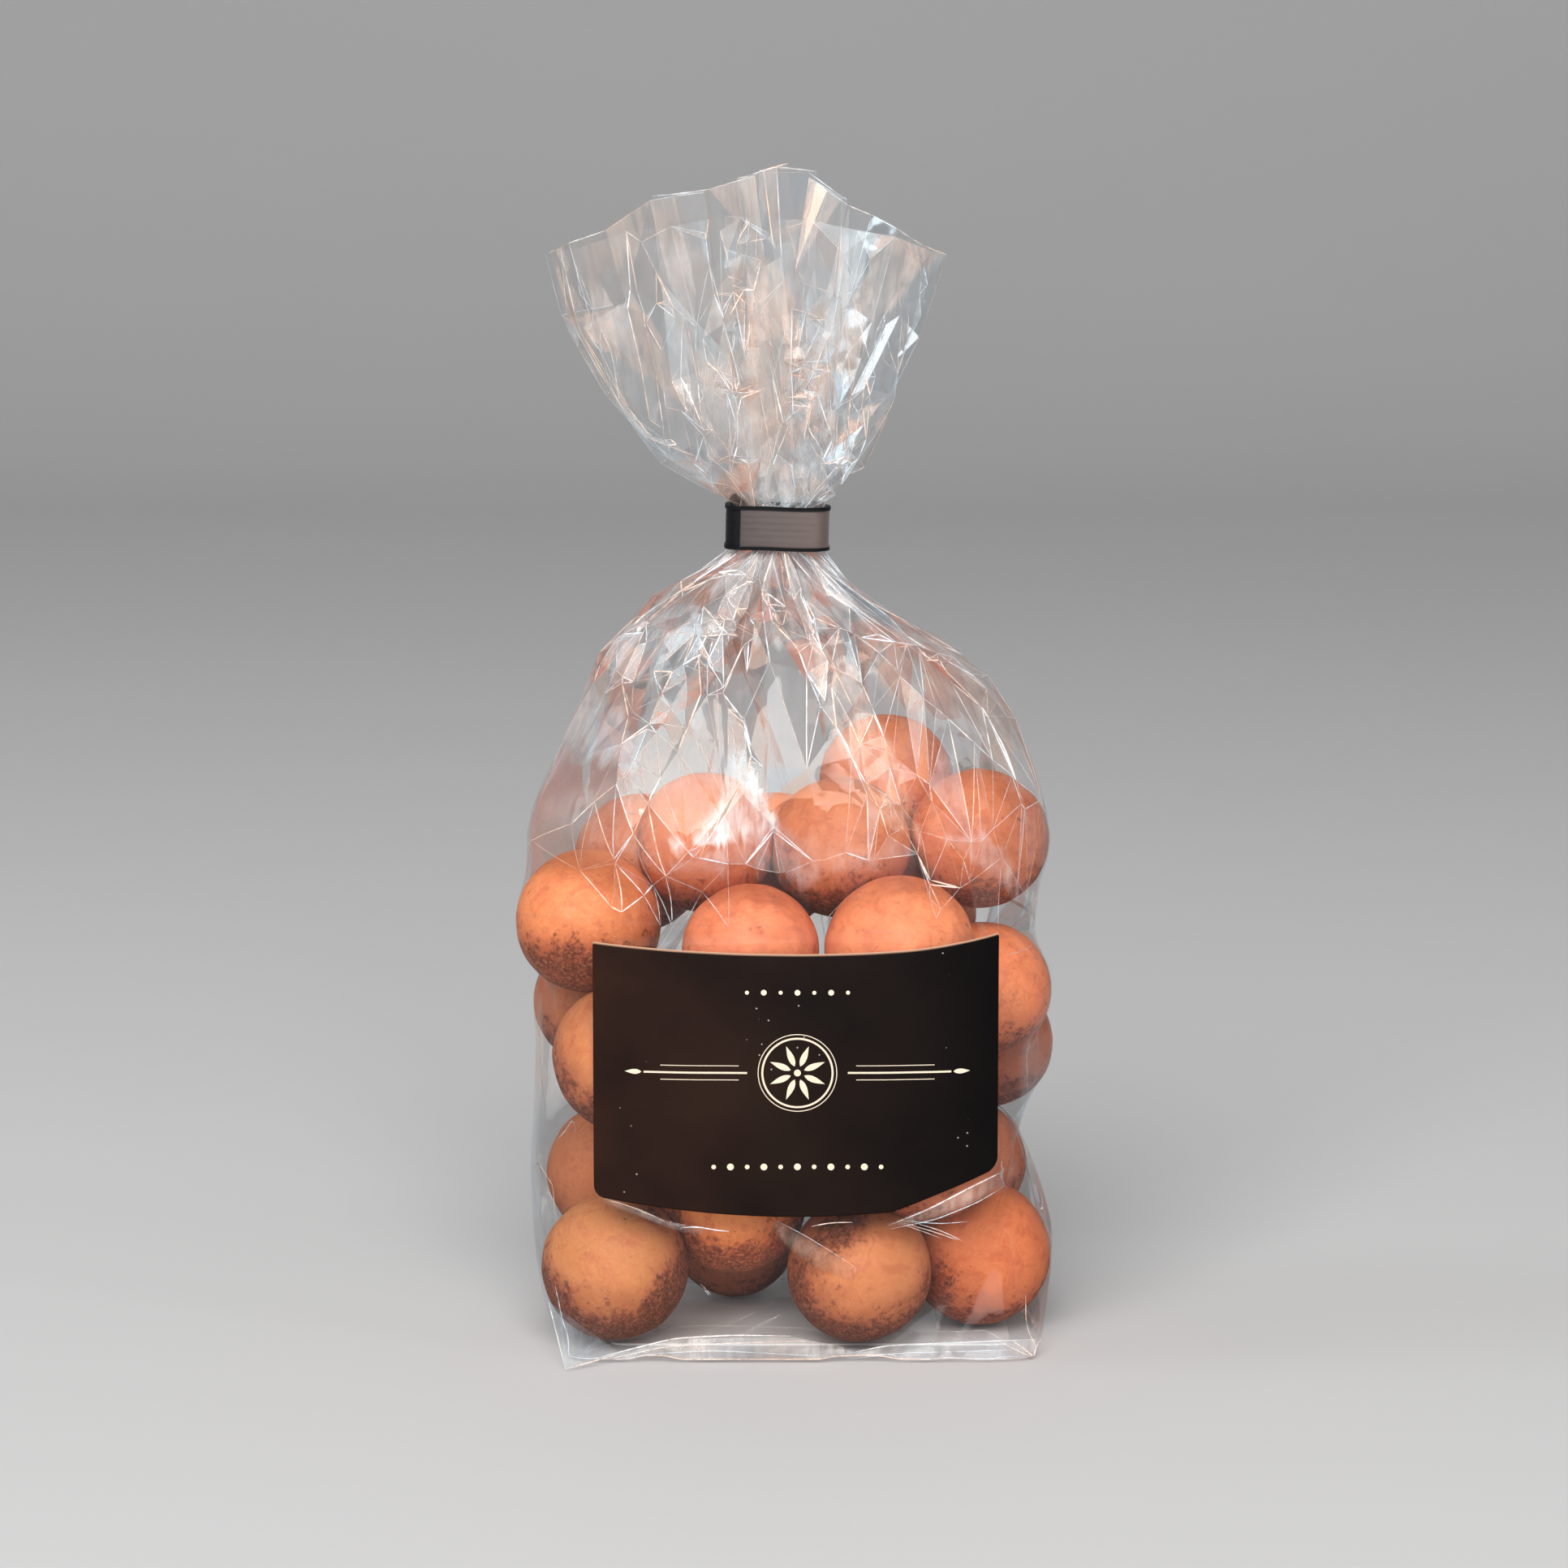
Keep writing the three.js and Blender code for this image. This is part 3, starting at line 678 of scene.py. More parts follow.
def marzipan():
    n = Nodes('marzipan')
    pos = n.add('TexCoord').outputs['Object']
    seed = n.attr('seed')
    cocoa = n.attr('cocoa')
    pale = n.attr('pale')
    up = n.attr('up')
    off = n.add('CombineXYZ', X=seed, Y=seed, Z=n.math('MULTIPLY', seed, 1.7)).outputs[0]
    at = n.add('VectorMath', _operation='ADD', i0=pos, i1=off).outputs[0]
    big = n.add('TexNoise', Vector=at, Scale=95.0, Detail=3.0, Roughness=0.55).outputs['Fac']
    mid = n.add('TexNoise', Vector=at, Scale=330.0, Detail=4.0, Roughness=0.65, Distortion=0.4).outputs['Fac']
    fine = n.add('TexNoise', Vector=at, Scale=1500.0, Detail=3.0, Roughness=0.7).outputs['Fac']
    gran = n.add('TexNoise', Vector=at, Scale=620.0, Detail=6.0, Roughness=0.78).outputs['Fac']
    # base: salmon orange, a little lighter and yellower where rubbed
    col_a = n.mix(n.ramp(big, [(0.3, (0, 0, 0)), (0.7, (1, 1, 1))]), (0.66, 0.175, 0.080), (0.84, 0.270, 0.128))
    tan = n.mix(n.ramp(mid, [(0.3, (0, 0, 0)), (0.7, (1, 1, 1))]), (0.62, 0.225, 0.070), (0.80, 0.330, 0.112))
    col_b = n.mix(n.math('MULTIPLY', cocoa, 1.1, True), col_a, tan)
    col_b = n.mix(n.ramp(mid, [(0.46, (0, 0, 0)), (0.64, (0.5, 0.5, 0.5))]), col_b, (0.52, 0.120, 0.052))
    # darker round the rim of the paler side and underneath: partly cocoa, thick on dusty balls, and partly painted
    # shade on each ball's rim and underside
    edge = n.math('SUBTRACT', 0.86, pale)
    edge = n.math('MULTIPLY', edge, n.math('ADD', n.math('MULTIPLY', cocoa, 1.7), 0.15))
    # painted shade: the underside of each ball is darkened
    low = n.math('MULTIPLY', n.math('SUBTRACT', -0.05, up), n.math('ADD', n.math('MULTIPLY', cocoa, 0.6), 0.45))
    cocoa_and_shade = n.math('ADD', n.math('ADD', edge, low), n.math('ADD', n.math('MULTIPLY', n.math('SUBTRACT', big, 0.5), 1.9), n.math('MULTIPLY', n.attr('patch'), 0.95)))
    # a soft brown blush, and on it coarse grains that crowd together where the cocoa is thick; both also paint shade on
    # the rims and undersides
    cocoa_and_shade_blush = n.ramp(cocoa_and_shade, [(0.05, (0, 0, 0)), (0.55, (0.60, 0.60, 0.60)), (1.1, (1, 1, 1))])
    col = n.mix(n.math('MULTIPLY', cocoa_and_shade_blush, 0.72), col_b, (0.36, 0.072, 0.030))
    grit = n.math('ADD', n.math('MULTIPLY', n.math('SUBTRACT', gran, 0.5), 3.4), n.math('MULTIPLY', n.math('SUBTRACT', fine, 0.5), 1.1))
    grit = n.math('ADD', grit, n.math('ADD', n.math('MULTIPLY', cocoa_and_shade, 0.85), n.math('MULTIPLY', n.math('SUBTRACT', mid, 0.5), 1.6)))
    dust_and_shade = n.ramp(grit, [(0.50, (0, 0, 0)), (0.72, (0.62, 0.62, 0.62)), (1.15, (1, 1, 1))])
    brown = n.mix(n.ramp(fine, [(0.40, (0, 0, 0)), (0.62, (1, 1, 1))]), (0.080, 0.015, 0.009), (0.235, 0.058, 0.026))
    col = n.mix(n.math('MULTIPLY', dust_and_shade, 0.88), col, brown)
    # rosy marbling where little cocoa is left
    rose = n.ramp(n.add('TexNoise', Vector=at, Scale=210.0, Detail=4.0, Roughness=0.65, Distortion=1.6).outputs['Fac'], [(0.53, (0, 0, 0)), (0.63, (1, 1, 1))])
    col = n.mix(n.math('MULTIPLY', rose, 0.30), col, (0.42, 0.080, 0.042))
    # irregular dark specks
    speck = n.ramp(n.add('TexNoise', Vector=at, Scale=520.0, Detail=2.0, Roughness=0.5).outputs['Fac'], [(0.70, (0, 0, 0)), (0.76, (1, 1, 1))])
    speck = n.math('MULTIPLY', speck, n.ramp(n.add('TexNoise', Vector=at, Scale=150.0, Detail=2.0).outputs['Fac'], [(0.44, (0, 0, 0)), (0.60, (1, 1, 1))]))
    col = n.mix(n.math('MULTIPLY', speck, 0.75), col, (0.10, 0.022, 0.012))
    # pale specks in the finest grain: sugar bloom, and painted glints of the sugar grains
    grain = n.ramp(fine, [(0.50, (0, 0, 0)), (0.70, (1, 1, 1))])
    col = n.mix(n.math('MULTIPLY', grain, 0.20), col, (0.90, 0.46, 0.26))
    bump_h = n.math('ADD', n.math('MULTIPLY', mid, 0.5), n.math('ADD', n.math('MULTIPLY', fine, 0.22), n.math('MULTIPLY', speck, -0.35)))
    bump = n.add('Bump', Strength=0.55, Distance=0.0005, Height=bump_h).outputs[0]
    rough = n.ramp(dust_and_shade, [(0, (0.62, 0.62, 0.62)), (1, (0.86, 0.86, 0.86))])
    p = n.add('BsdfPrincipled', Base_Color=n.mix(1.0, col, n.attr_colour('own'), 'MULTIPLY'), Roughness=rough, Normal=bump)
    p.inputs['Subsurface Weight'].default_value = 0.08
    p.inputs['Subsurface Radius'].default_value = (0.004, 0.0016, 0.0008)
    p.inputs['Subsurface Scale'].default_value = 0.6
    p.inputs['Specular IOR Level'].default_value = 0.3
    return n.surface(p.outputs[0])


# =============================================================================================
# the film
def film_material(name, haze, tint_scale=34.0, crease_veil=0.40, gloss_amount=0.50):
    n = Nodes(name)
    uv = n.add('UVMap').outputs[0]
    pos = n.add('TexCoord').outputs['Object']
    crease = n.attr('crease')
    fine = n.attr('crinkle')
    # crinkles: small flat panels, each tilted its own way, long and narrow where the film is gathered
    warp = n.add('TexNoise', _noise_dimensions='2D', Vector=uv, Scale=70.0, Detail=1.0).outputs['Color']
    uvw = n.add('VectorMath', _operation='ADD', i0=uv, i1=n.add('VectorMath', _operation='SCALE', i0=warp, Scale=0.010).outputs[0]).outputs[0]
    ca = n.add('TexVoronoi', _voronoi_dimensions='2D', Vector=uvw, Scale=85.0, Randomness=1.0).outputs['Color']
    cb = n.add('TexVoronoi', _voronoi_dimensions='2D', Vector=uvw, Scale=230.0, Randomness=1.0).outputs['Color']
    half = (0.5, 0.5, 0.5)
    da = n.add('VectorMath', _operation='SUBTRACT', i0=ca, i1=half).outputs[0]
    db = n.add('VectorMath', _operation='SUBTRACT', i0=cb, i1=half).outputs[0]
    da = n.add('VectorMath', _operation='SCALE', i0=da, Scale=n.math('MULTIPLY', fine, 0.30)).outputs[0]
    db = n.add('VectorMath', _operation='SCALE', i0=db, Scale=n.math('MULTIPLY', fine, 0.17)).outputs[0]
    nrm = n.add('NewGeometry').outputs['Normal']
    tilt = n.add('VectorMath', _operation='ADD', i0=n.add('VectorMath', _operation='ADD', i0=nrm, i1=da).outputs[0], i1=db).outputs[0]
    tilt = n.add('VectorMath', _operation='NORMALIZE', i0=tilt).outputs[0]
    soft = n.add('TexNoise', Vector=pos, Scale=90.0, Detail=2.0, Roughness=0.5).outputs['Fac']
    bump = n.add('Bump', Strength=0.35, Distance=0.0010, Height=soft, Normal=tilt).outputs[0]
    # cool and peach tints, in broad soft fields: painted reflections of the cool window light and of the peach balls,
    # in the gloss and in the veil
    tn = n.add('TexNoise', Vector=pos, Scale=tint_scale, Detail=2.0, Roughness=0.5, Distortion=0.8).outputs['Fac']
    tn = n.math('ADD', n.math('MULTIPLY', tn, 0.62), n.math('MULTIPLY', n.attr('tone'), 0.38))
    painted_reflection_tint = n.ramp(tn, [(0.36, (0.80, 0.92, 1.0)), (0.50, (1.0, 0.98, 0.96)), (0.66, (1.0, 0.66, 0.48))])
    clear = n.add('BsdfTransparent', Color=(0.975, 0.98, 0.985, 1)).outputs[0]
    gloss = n.add('BsdfGlossy', Color=painted_reflection_tint, Roughness=0.06, Normal=bump).outputs[0]
    fres = n.add('Fresnel', IOR=1.72, Normal=bump).outputs[0]
    fres = n.math('MULTIPLY', fres, n.math('MULTIPLY', n.math('SUBTRACT', 1.0, n.attr('dull')), gloss_amount))
    body = n.add('MixShader', Fac=fres, i1=clear, i2=gloss).outputs[0]
    # whitened creases and a very faint veil: partly whitened, hazy film, partly painted highlights along the creases
    # and painted reflections on the panels
    streak = n.add('TexNoise', _noise_dimensions='2D', Vector=n.add('Mapping', Vector=uv, Scale=(620.0, 95.0, 1.0)).outputs[0], Scale=1.0, Detail=3.0, Roughness=0.6).outputs['Fac']
    cloud = n.add('TexNoise', Vector=pos, Scale=150.0, Detail=3.0, Roughness=0.55, Distortion=0.5).outputs['Fac']
    uneven = n.ramp(n.math('ADD', n.math('MULTIPLY', streak, 0.5), n.math('MULTIPLY', cloud, 0.5)), [(0.38, (0.18, 0.18, 0.18)), (0.62, (1, 1, 1))])
    veil = n.math('MULTIPLY', n.math('MULTIPLY', crease, crease_veil * 1.75), uneven)
    veil = n.math('ADD', n.math('ADD', veil, n.math('MULTIPLY', fine, 0.025)), haze, True)
    pap = n.add('BsdfDiffuse', Color=n.mix(0.75, (0.95, 0.96, 0.97), painted_reflection_tint), Normal=bump).outputs[0]
    return n.surface(n.add('MixShader', Fac=veil, i1=body, i2=pap).outputs[0])


def dihedral(X):
    """how sharply the film is folded at each point, 0 to 1"""
    P00, P10 = X[:-1], X[1:]
    P01, P11 = np.roll(P00, -1, 1), np.roll(P10, -1, 1)
    N = np.cross(P11 - P00, P10 - P01)
    N /= np.linalg.norm(N, axis=-1, keepdims=True) + 1e-9
    a = np.zeros(X.shape[:2])
    du = 1 - (N * np.roll(N, 1, 1)).sum(-1)
    a[:-1] = np.maximum(a[:-1], du)
    a[1:] = np.maximum(a[1:], du)
    dv = 1 - (N[1:] * N[:-1]).sum(-1)
    a[1:-1] = np.maximum(a[1:-1], np.maximum(dv, np.roll(dv, 1, 1)))
    return np.clip((a - 0.12) / 0.7, 0, 1)


# where the film is sharply creased in front: width in mm, then where the crease runs in the camera's frame
CREASES = (
    (0.55, (697, 390), (754, 430), (812, 466), (843, 498)),
    (0.40, (698, 388), (758, 374), (776, 381), (796, 388), (816, 430), (857, 492), (915, 573)),
    (0.40, (776, 359), (830, 376), (861, 403), (883, 448), (906, 492), (915, 564)),
    (0.30, (774, 265), (808, 327), (830, 390), (870, 448), (910, 466)),
    (0.45, (823, 499), (870, 490), (906, 484), (937, 479), (953, 468)),
    (0.40, (948, 247), (944, 296), (930, 332), (928, 385), (917, 430), (912, 492), (906, 559), (897, 600)),
    (0.35, (957, 305), (973, 376), (988, 443), (977, 484), (964, 519), (950, 573)),
    (0.35, (962, 247), (944, 296), (939, 327)),
    (0.60, (1084, 280), (1071, 314), (1049, 359), (1022, 408), (999, 457), (973, 519), (953, 573)),
    (0.35, (1055, 254), (1040, 314), (1022, 376), (991, 448), (964, 537)),
    (0.30, (1136, 327), (1120, 385), (1098, 403), (1084, 443), (1069, 484), (1055, 508)),
    (0.30, (1129, 327), (1084, 394), (1071, 448), (1044, 510)),
    (0.35, (1024, 537), (1044, 568), (1008, 604)),
    (0.30, (1044, 510), (1035, 568)),
    (0.35, (1066, 537), (1040, 582), (999, 609)),
    (0.30, (1013, 568), (1049, 551)),
    (0.30, (1075, 533), (1049, 573)),
    (0.30, (991, 577), (1022, 568), (1040, 595)),
    (0.30, (794, 537), (834, 546), (870, 582)),
    (0.30, (843, 501), (870, 537), (888, 573)),
    (0.25, (767, 506), (808, 519), (852, 564)),
    (0.25, (861, 247), (870, 296), (888, 385), (910, 430)),
    (0.25, (877, 247), (897, 314), (912, 390)),
    (0.25, (901, 242), (915, 314), (919, 368)),
    (0.30, (712, 323), (720, 372), (767, 475)),
    (0.30, (1149, 314), (1133, 368), (1111, 430), (1098, 492)),
    (0.25, (1013, 448), (1004, 492), (977, 573)),
    (0.45, (839, 715), (841, 733), (857, 766), (864, 802), (875, 821)),
    (0.40, (800, 733), (802, 766), (770, 784), (740, 802)),
    (0.40, (740, 802), (742, 821), (761, 823), (797, 793), (864, 768)),
    (0.50, (735, 837), (784, 839), (830, 830), (864, 812)),
    (0.30, (770, 844), (777, 880), (770, 917)),
    (0.35, (864, 807), (820, 890), (774, 954), (706, 1014)),
    (0.30, (878, 821), (848, 899), (802, 981), (756, 1064)),
    (0.45, (894, 876), (917, 890), (928, 931), (921, 954), (857, 1055)),
    (0.40, (875, 816), (894, 853), (917, 885), (924, 922)),
    (0.50, (937, 945), (862, 1059)),
    (0.40, (937, 945), (956, 1025)),
    (0.45, (857, 1059), (921, 1064), (958, 1076), (1013, 1059), (1041, 1048), (1073, 1062), (1094, 1027)),
    (0.50, (949, 770), (986, 807), (1013, 862), (1032, 899), (1052, 935), (1068, 977), (1096, 1009)),
    (0.50, (967, 770), (1004, 793), (1059, 844), (1078, 880), (1094, 926), (1096, 991), (1133, 1050), (1146, 1087)),
    (0.40, (999, 784), (1027, 830), (1059, 917)),
    (0.45, (1052, 784), (1105, 830), (1151, 871), (1197, 917), (1243, 958), (1289, 991)),
    (0.40, (1059, 789), (1128, 798), (1197, 834), (1250, 885)),
    (0.35, (1215, 830), (1215, 880), (1252, 885)),
    (0.45, (1098, 935), (1142, 968), (1151, 986), (1096, 991)),
    (0.50, (1133, 1027), (1197, 1041), (1224, 1025)),
    (0.35, (1243, 958), (1261, 1000)),
    (0.40, (1188, 1059), (1192, 1087), (1151, 1133), (1146, 1110)),
    (0.35, (1234, 1059), (1270, 1105)),
    (0.50, (641, 1128), (692, 1138), (738, 1158)),
    (0.35, (738, 1151), (752, 1115)),
    (0.45, (738, 1156), (807, 1092), (875, 1027), (921, 954)),
    (0.35, (885, 701), (921, 711), (940, 720)),
    (0.40, (917, 747), (949, 752), (967, 770)),
    (0.35, (944, 729), (963, 779), (981, 798)),
    (0.40, (990, 729), (995, 756), (1050, 784)),
    (0.40, (1013, 706), (1041, 733), (1059, 745)),
    (0.35, (931, 688), (942, 738), (967, 752)),
    (0.35, (866, 752), (894, 784), (912, 784)),
    (0.40, (894, 729), (875, 766), (871, 784)),
    (0.30, (839, 724), (894, 711), (921, 688)),
    (0.30, (921, 720), (931, 766), (917, 798)),
    (0.30, (976, 688), (986, 733), (967, 766)),
    (0.30, (1004, 697), (990, 743), (1013, 798)),
    (0.30, (949, 688), (921, 733), (885, 775)),
    (0.30, (857, 779), (903, 766), (949, 770)),
    (0.30, (967, 775), (1032, 775), (1105, 793), (1174, 812)),
    (0.25, (807, 825), (816, 857), (802, 899)),
    (0.45, (1094, 1510), (1142, 1492), (1192, 1467), (1234, 1448), (1270, 1435)),
    (0.35, (1098, 1513), (1160, 1501), (1220, 1467), (1261, 1444)),
    (0.30, (1128, 1510), (1183, 1529)),
    (0.30, (1110, 1506), (1165, 1524)),
    (0.25, (738, 1474), (793, 1497), (830, 1513)),
    (0.25, (871, 1588), (875, 1595)),
    (0.35, (678, 1407), (699, 1380), (703, 1398)),
    (0.30, (655, 1425), (678, 1467), (683, 1499)),
)


# painted reflections: where the film in front has a whitish veil standing for the light it reflects: how strong, its
# tint from cool 0 to peach 1, its outline
PAINTED_REFLECTIONS = (
    (0.24, 1.00, (1100, 267), (1167, 303), (1080, 400), (1033, 473), (987, 533), (1013, 460), (1053, 380), (1073, 313)),
    (0.20, 0.35, (1053, 253), (1093, 267), (1073, 313), (1013, 460), (993, 513), (1003, 447), (1033, 333)),
    (0.08, 0.20, (1170, 313), (1150, 373), (1107, 500), (1073, 540), (1040, 527), (1087, 400), (1133, 333)),
    (0.16, 0.95, (933, 307), (973, 347), (987, 427), (960, 513), (927, 553), (917, 447)),
    (0.22, 1.00, (700, 393), (780, 373), (807, 400), (847, 500), (793, 467), (747, 433)),
    (0.08, 0.30, (713, 413), (807, 467), (893, 553), (827, 567), (760, 500)),
    (0.13, 0.15, (760, 507), (840, 553), (893, 580), (880, 600), (820, 573)),
    (0.11, 0.10, (807, 300), (873, 290), (860, 333), (820, 353)),
    (0.07, 0.90, (953, 240), (980, 200), (1023, 213), (1013, 267), (960, 293)),
    (0.22, 0.70, (900, 573), (1027, 573), (1013, 617), (900, 617)),
    (0.16, 0.30, (993, 580), (1040, 533), (1087, 527), (1040, 607)),
    (0.06, 0.80, (680, 310), (740, 280), (767, 320), (700, 393)),
    (0.16, 0.00, (803, 745), (860, 745), (868, 794), (835, 835), (754, 843), (746, 802)),
    (0.14, 0.05, (722, 843), (770, 875), (787, 948), (705, 932), (649, 989)),
    (0.22, 0.75, (973, 778), (1038, 802), (1078, 883), (1119, 964), (1135, 1037), (1095, 1021), (1054, 964), (1006, 851)),
    (0.46, 0.40, (920, 928), (961, 1029), (827, 1046), (876, 997)),
    (0.22, 0.30, (868, 936), (920, 924), (924, 964), (892, 964)),
    (0.06, 0.50, (924, 843), (876, 964), (738, 1046), (649, 997), (795, 940)),
    (0.12, 0.90, (1054, 754), (1168, 798), (1216, 851), (1119, 875), (1078, 843)),
    (0.09, 0.60, (1119, 875), (1216, 859), (1265, 940), (1289, 997), (1233, 956), (1168, 916)),
    (0.11, 0.45, (957, 1021), (1087, 1062), (989, 1086), (819, 1070)),
    (0.17, 0.50, (1160, 1029), (1216, 1029), (1281, 1110), (1249, 1102)),
    (0.14, 0.35, (916, 681), (1022, 681), (1054, 745), (981, 802), (868, 778), (876, 721)),
    (0.07, 0.60, (730, 1021), (843, 989), (811, 1078)),
)


# =============================================================================================
# flat panels with sharp creases between them, for the shoulders and for the fan
GIRTH = 309.0
LOW_ZONE = 86.0      # up to here along the film the body is one smooth tight skin


def on_grid(G, s, U, V):
    """the value of a grid over the film at U mm around and V mm along it"""
    nv, nu = G.shape[:2]
    a = (np.asarray(U) / GIRTH % 1.0) * nu
    b = np.clip(np.interp(V, s, np.arange(nv)), 0, nv - 1.001)
    i, j = np.floor(a).astype(int) % nu, np.floor(b).astype(int)
    fa, fb = (a - np.floor(a))[..., None], (b - j)[..., None]
    k = (i + 1) % nu
    return (G[j, i] * (1 - fa) + G[j, k] * fa) * (1 - fb) + (G[j + 1, i] * (1 - fa) + G[j + 1, k] * fa) * fb


def fold_columns(X, s, at_s, count, least):
    """where the film's long folds run: the columns that draw the pleated rings best with few corners"""
    rows = [int(np.argmin(np.abs(s - q))) for q in at_s]
    R = np.concatenate([X[r] for r in rows], -1)
    nu = len(R)
    c = R.mean(0)
    first = int(np.argmax(((R - c) ** 2).sum(-1)))
    far = int(np.argmax(((R - R[first]) ** 2).sum(-1)))
    marks = sorted([first, far])
    while len(marks) < count:
        best, where = -1, None
        for a, b in zip(marks, marks[1:] + [marks[0] + nu]):
            if b - a < 2 * least:
                continue
            k = np.arange(a + least, b - least + 1)
            A, B = R[a % nu], R[b % nu]
            t = ((k - a) / (b - a))[:, None]
            d = ((R[k % nu] - (A + (B - A) * t)) ** 2).sum(-1)
            m = int(d.argmax())
            if d[m] > best:
                best, where = d[m], int(k[m]) % nu
        if where is None:
            break
        marks = sorted(marks + [where])
    return np.array(marks) / nu * GIRTH


def place_creases(X, s, N, lo, hi):
    """the listed creases as lines of (U, V) on the film"""
    eye = np.array([0, -math.cos(ELEV), math.sin(ELEV)])
    nv, nu, _ = X.shape
    inside = ((s > lo) & (s < hi))[:, None] & (N @ eye > -0.05) & (X[..., 1] < 5)
    js, is_ = np.where(inside)
    P3 = X[js, is_]
    at = seen_at(P3)
    lines = []
    for w, *pts in CREASES:
        pts = np.array(pts, float)
        L = np.r_[0, np.cumsum(np.linalg.norm(np.diff(pts, axis=0), axis=1))]
        q = np.unique(np.r_[np.arange(0, L[-1], 38.0), L])
        out, last = [], None
        for x, y in np.c_[np.interp(q, L, pts[:, 0]), np.interp(q, L, pts[:, 1])]:
            d = np.hypot(at[:, 0] - x, at[:, 1] - y)
            if d.min() > 14:
                if len(out) > 1:
                    lines.append((w, np.array(out)))
                out, last = [], None
                continue
            near = np.where(d < max(8, d.min() + 2))[0]
            k = near[np.argmin(P3[near, 1] + 0.3 * d[near])]
            U, V = is_[k] / nu * GIRTH, s[js[k]]
            if last is not None:
                U += GIRTH * round((last[0] - U) / GIRTH)
                if abs(U - last[0]) > 26 or abs(V - last[1]) > 26:
                    if len(out) > 1:
                        lines.append((w, np.array(out)))
                    out = []
            last = (U, V)
            out.append(last)
        if len(out) > 1:
            lines.append((w, np.array(out)))
    return lines


def zone(X, s, N, lo, hi, rng, lines, rings, spacing, stretch, rise, bend, cells, edge_rows, ribs=0.35):
    """cuts a zone of the film into flat panels; gives its points, triangles, panel numbers and creases"""
    pts, kind, edges, tilt = [], [], [], []

    def chain(P, k, same=None):
        first = len(pts)
        tilt.extend([same] * len(P))
        for p in P:
            pts.append((float(p[0]), float(np.clip(p[1], lo, hi))))
            kind.append(k)
        n = len(P)
        edges.extend((first + i, first + i + 1) for i in range(n - 1))

    for w, P in lines:
        P = P[(P[:, 1] > lo + 1.0) & (P[:, 1] < hi - 1.0)]
        if len(P) > 1:
            chain(P, 1)
    for P in rings:
        chain(P, 2, rng.normal())
    for V, n in edge_rows:
        for i in range(n):
            pts.append((i / n * GIRTH, V))
            kind.append(3)
    A = np.array(pts)
    sq = lambda V: np.interp(V, *stretch)
    acc = [tuple(p) for p in A]
    B = A.copy()
    tries = 9000
    cu, cv = rng.uniform(0, GIRTH, tries), rng.uniform(lo + 0.8, hi - 0.8, tries)
    grid_pts = list(map(tuple, B))
    arr = np.array(grid_pts)
    new = []
    for U, V in zip(cu, cv):
        r = np.interp(V, *spacing)
        q = arr if not new else np.vstack([arr, np.array(new)])
        du = np.abs(q[:, 0] - U) % GIRTH
        du = np.minimum(du, GIRTH - du)
        d = np.hypot(du, (q[:, 1] - V) / sq(V))
        if d[:len(arr)].min() > 0.62 * r and (not new or d[len(arr):].min() > r):
            new.append((U, V))
    for p in new:
        pts.append(p)
        kind.append(0)
    pts = np.array(pts)
    kind = np.array(kind)
    n0 = len(pts)
    # the film is a tube: copies on both sides let panels run across its start
    U = pts[:, 0] % GIRTH
    turn = np.round((pts[:, 0] - U) / GIRTH).astype(int)
    V2, ids, back = [], [], {}
    for c in (-1, 0, 1):
        x = U + c * GIRTH
        keep = np.where((x > -42) & (x < GIRTH + 42))[0]
        for k in keep:
            back[(int(k), c)] = len(V2)
            V2.append((x[k], pts[k, 1]))
            ids.append(int(k))
    E2 = []
    for a, b in edges:
        for c in (-2, -1, 0, 1, 2):
            ka, kb = (a, c + turn[a]), (b, c + turn[b])
            if ka in back and kb in back:
                E2.append((back[ka], back[kb]))
    scale = np.array([1.0, 1.0 / np.mean(sq(np.linspace(lo, hi, 9)))])
    co = [Vector((v[0] * scale[0], v[1] * scale[1])) for v in V2]
    vo, eo, fo, ov, oe, of_ = mathutils.geometry.delaunay_2d_cdt(co, E2, [], 0, 1e-4)
    C = np.array([(v.x / scale[0], v.y / scale[1]) for v in vo])
    T = np.array([f for f in fo if len(f) == 3])
    mid = C[T].mean(1)
    T = T[(mid[:, 0] >= 0) & (mid[:, 0] < GIRTH)]
    e1, e2 = C[T[:, 1]] - C[T[:, 0]], C[T[:, 2]] - C[T[:, 0]]
    area = np.abs(e1[:, 0] * e2[:, 1] - e1[:, 1] * e2[:, 0])
    T = T[area > 0.02]
    own = np.array([ids[o[0]] if len(o) else -1 for o in ov])
    # one number for the same point on either side of the tube's start
    key = {}
    uid = np.zeros(len(C), int)
    for i, c in enumerate(C):
        k = (round(float(c[0] % GIRTH) * 20) % int(GIRTH * 20), round(float(c[1]) * 20))
        uid[i] = key.setdefault(k, len(key))
    H = rng.normal(0, 1, len(key))
    for i, o_ in enumerate(own):
        if 0 <= o_ < len(tilt) and tilt[o_] is not None:
            H[uid[i]] = 0.08 * H[uid[i]] + tilt[o_]
    lift = np.zeros(len(C))
    kk = np.where(own >= 0, kind[own], 0)
    amp = np.interp(C[:, 1], *rise)
    lift = np.where(kk == 1, amp * (0.55 + 0.35 * np.abs(H[uid])), np.where(kk == 2, ribs * amp * np.clip(H[uid], -1.6, 1.6), np.where(kk == 3, 0, amp * np.clip(np.sign(H[uid]) * np.abs(H[uid]) ** 2.2, -2.2, 2.0) * 0.42 - 0.10 * amp)))
    P = on_grid(X, s, C[:, 0], C[:, 1]) + on_grid(N, s, C[:, 0], C[:, 1]) * lift[:, None]
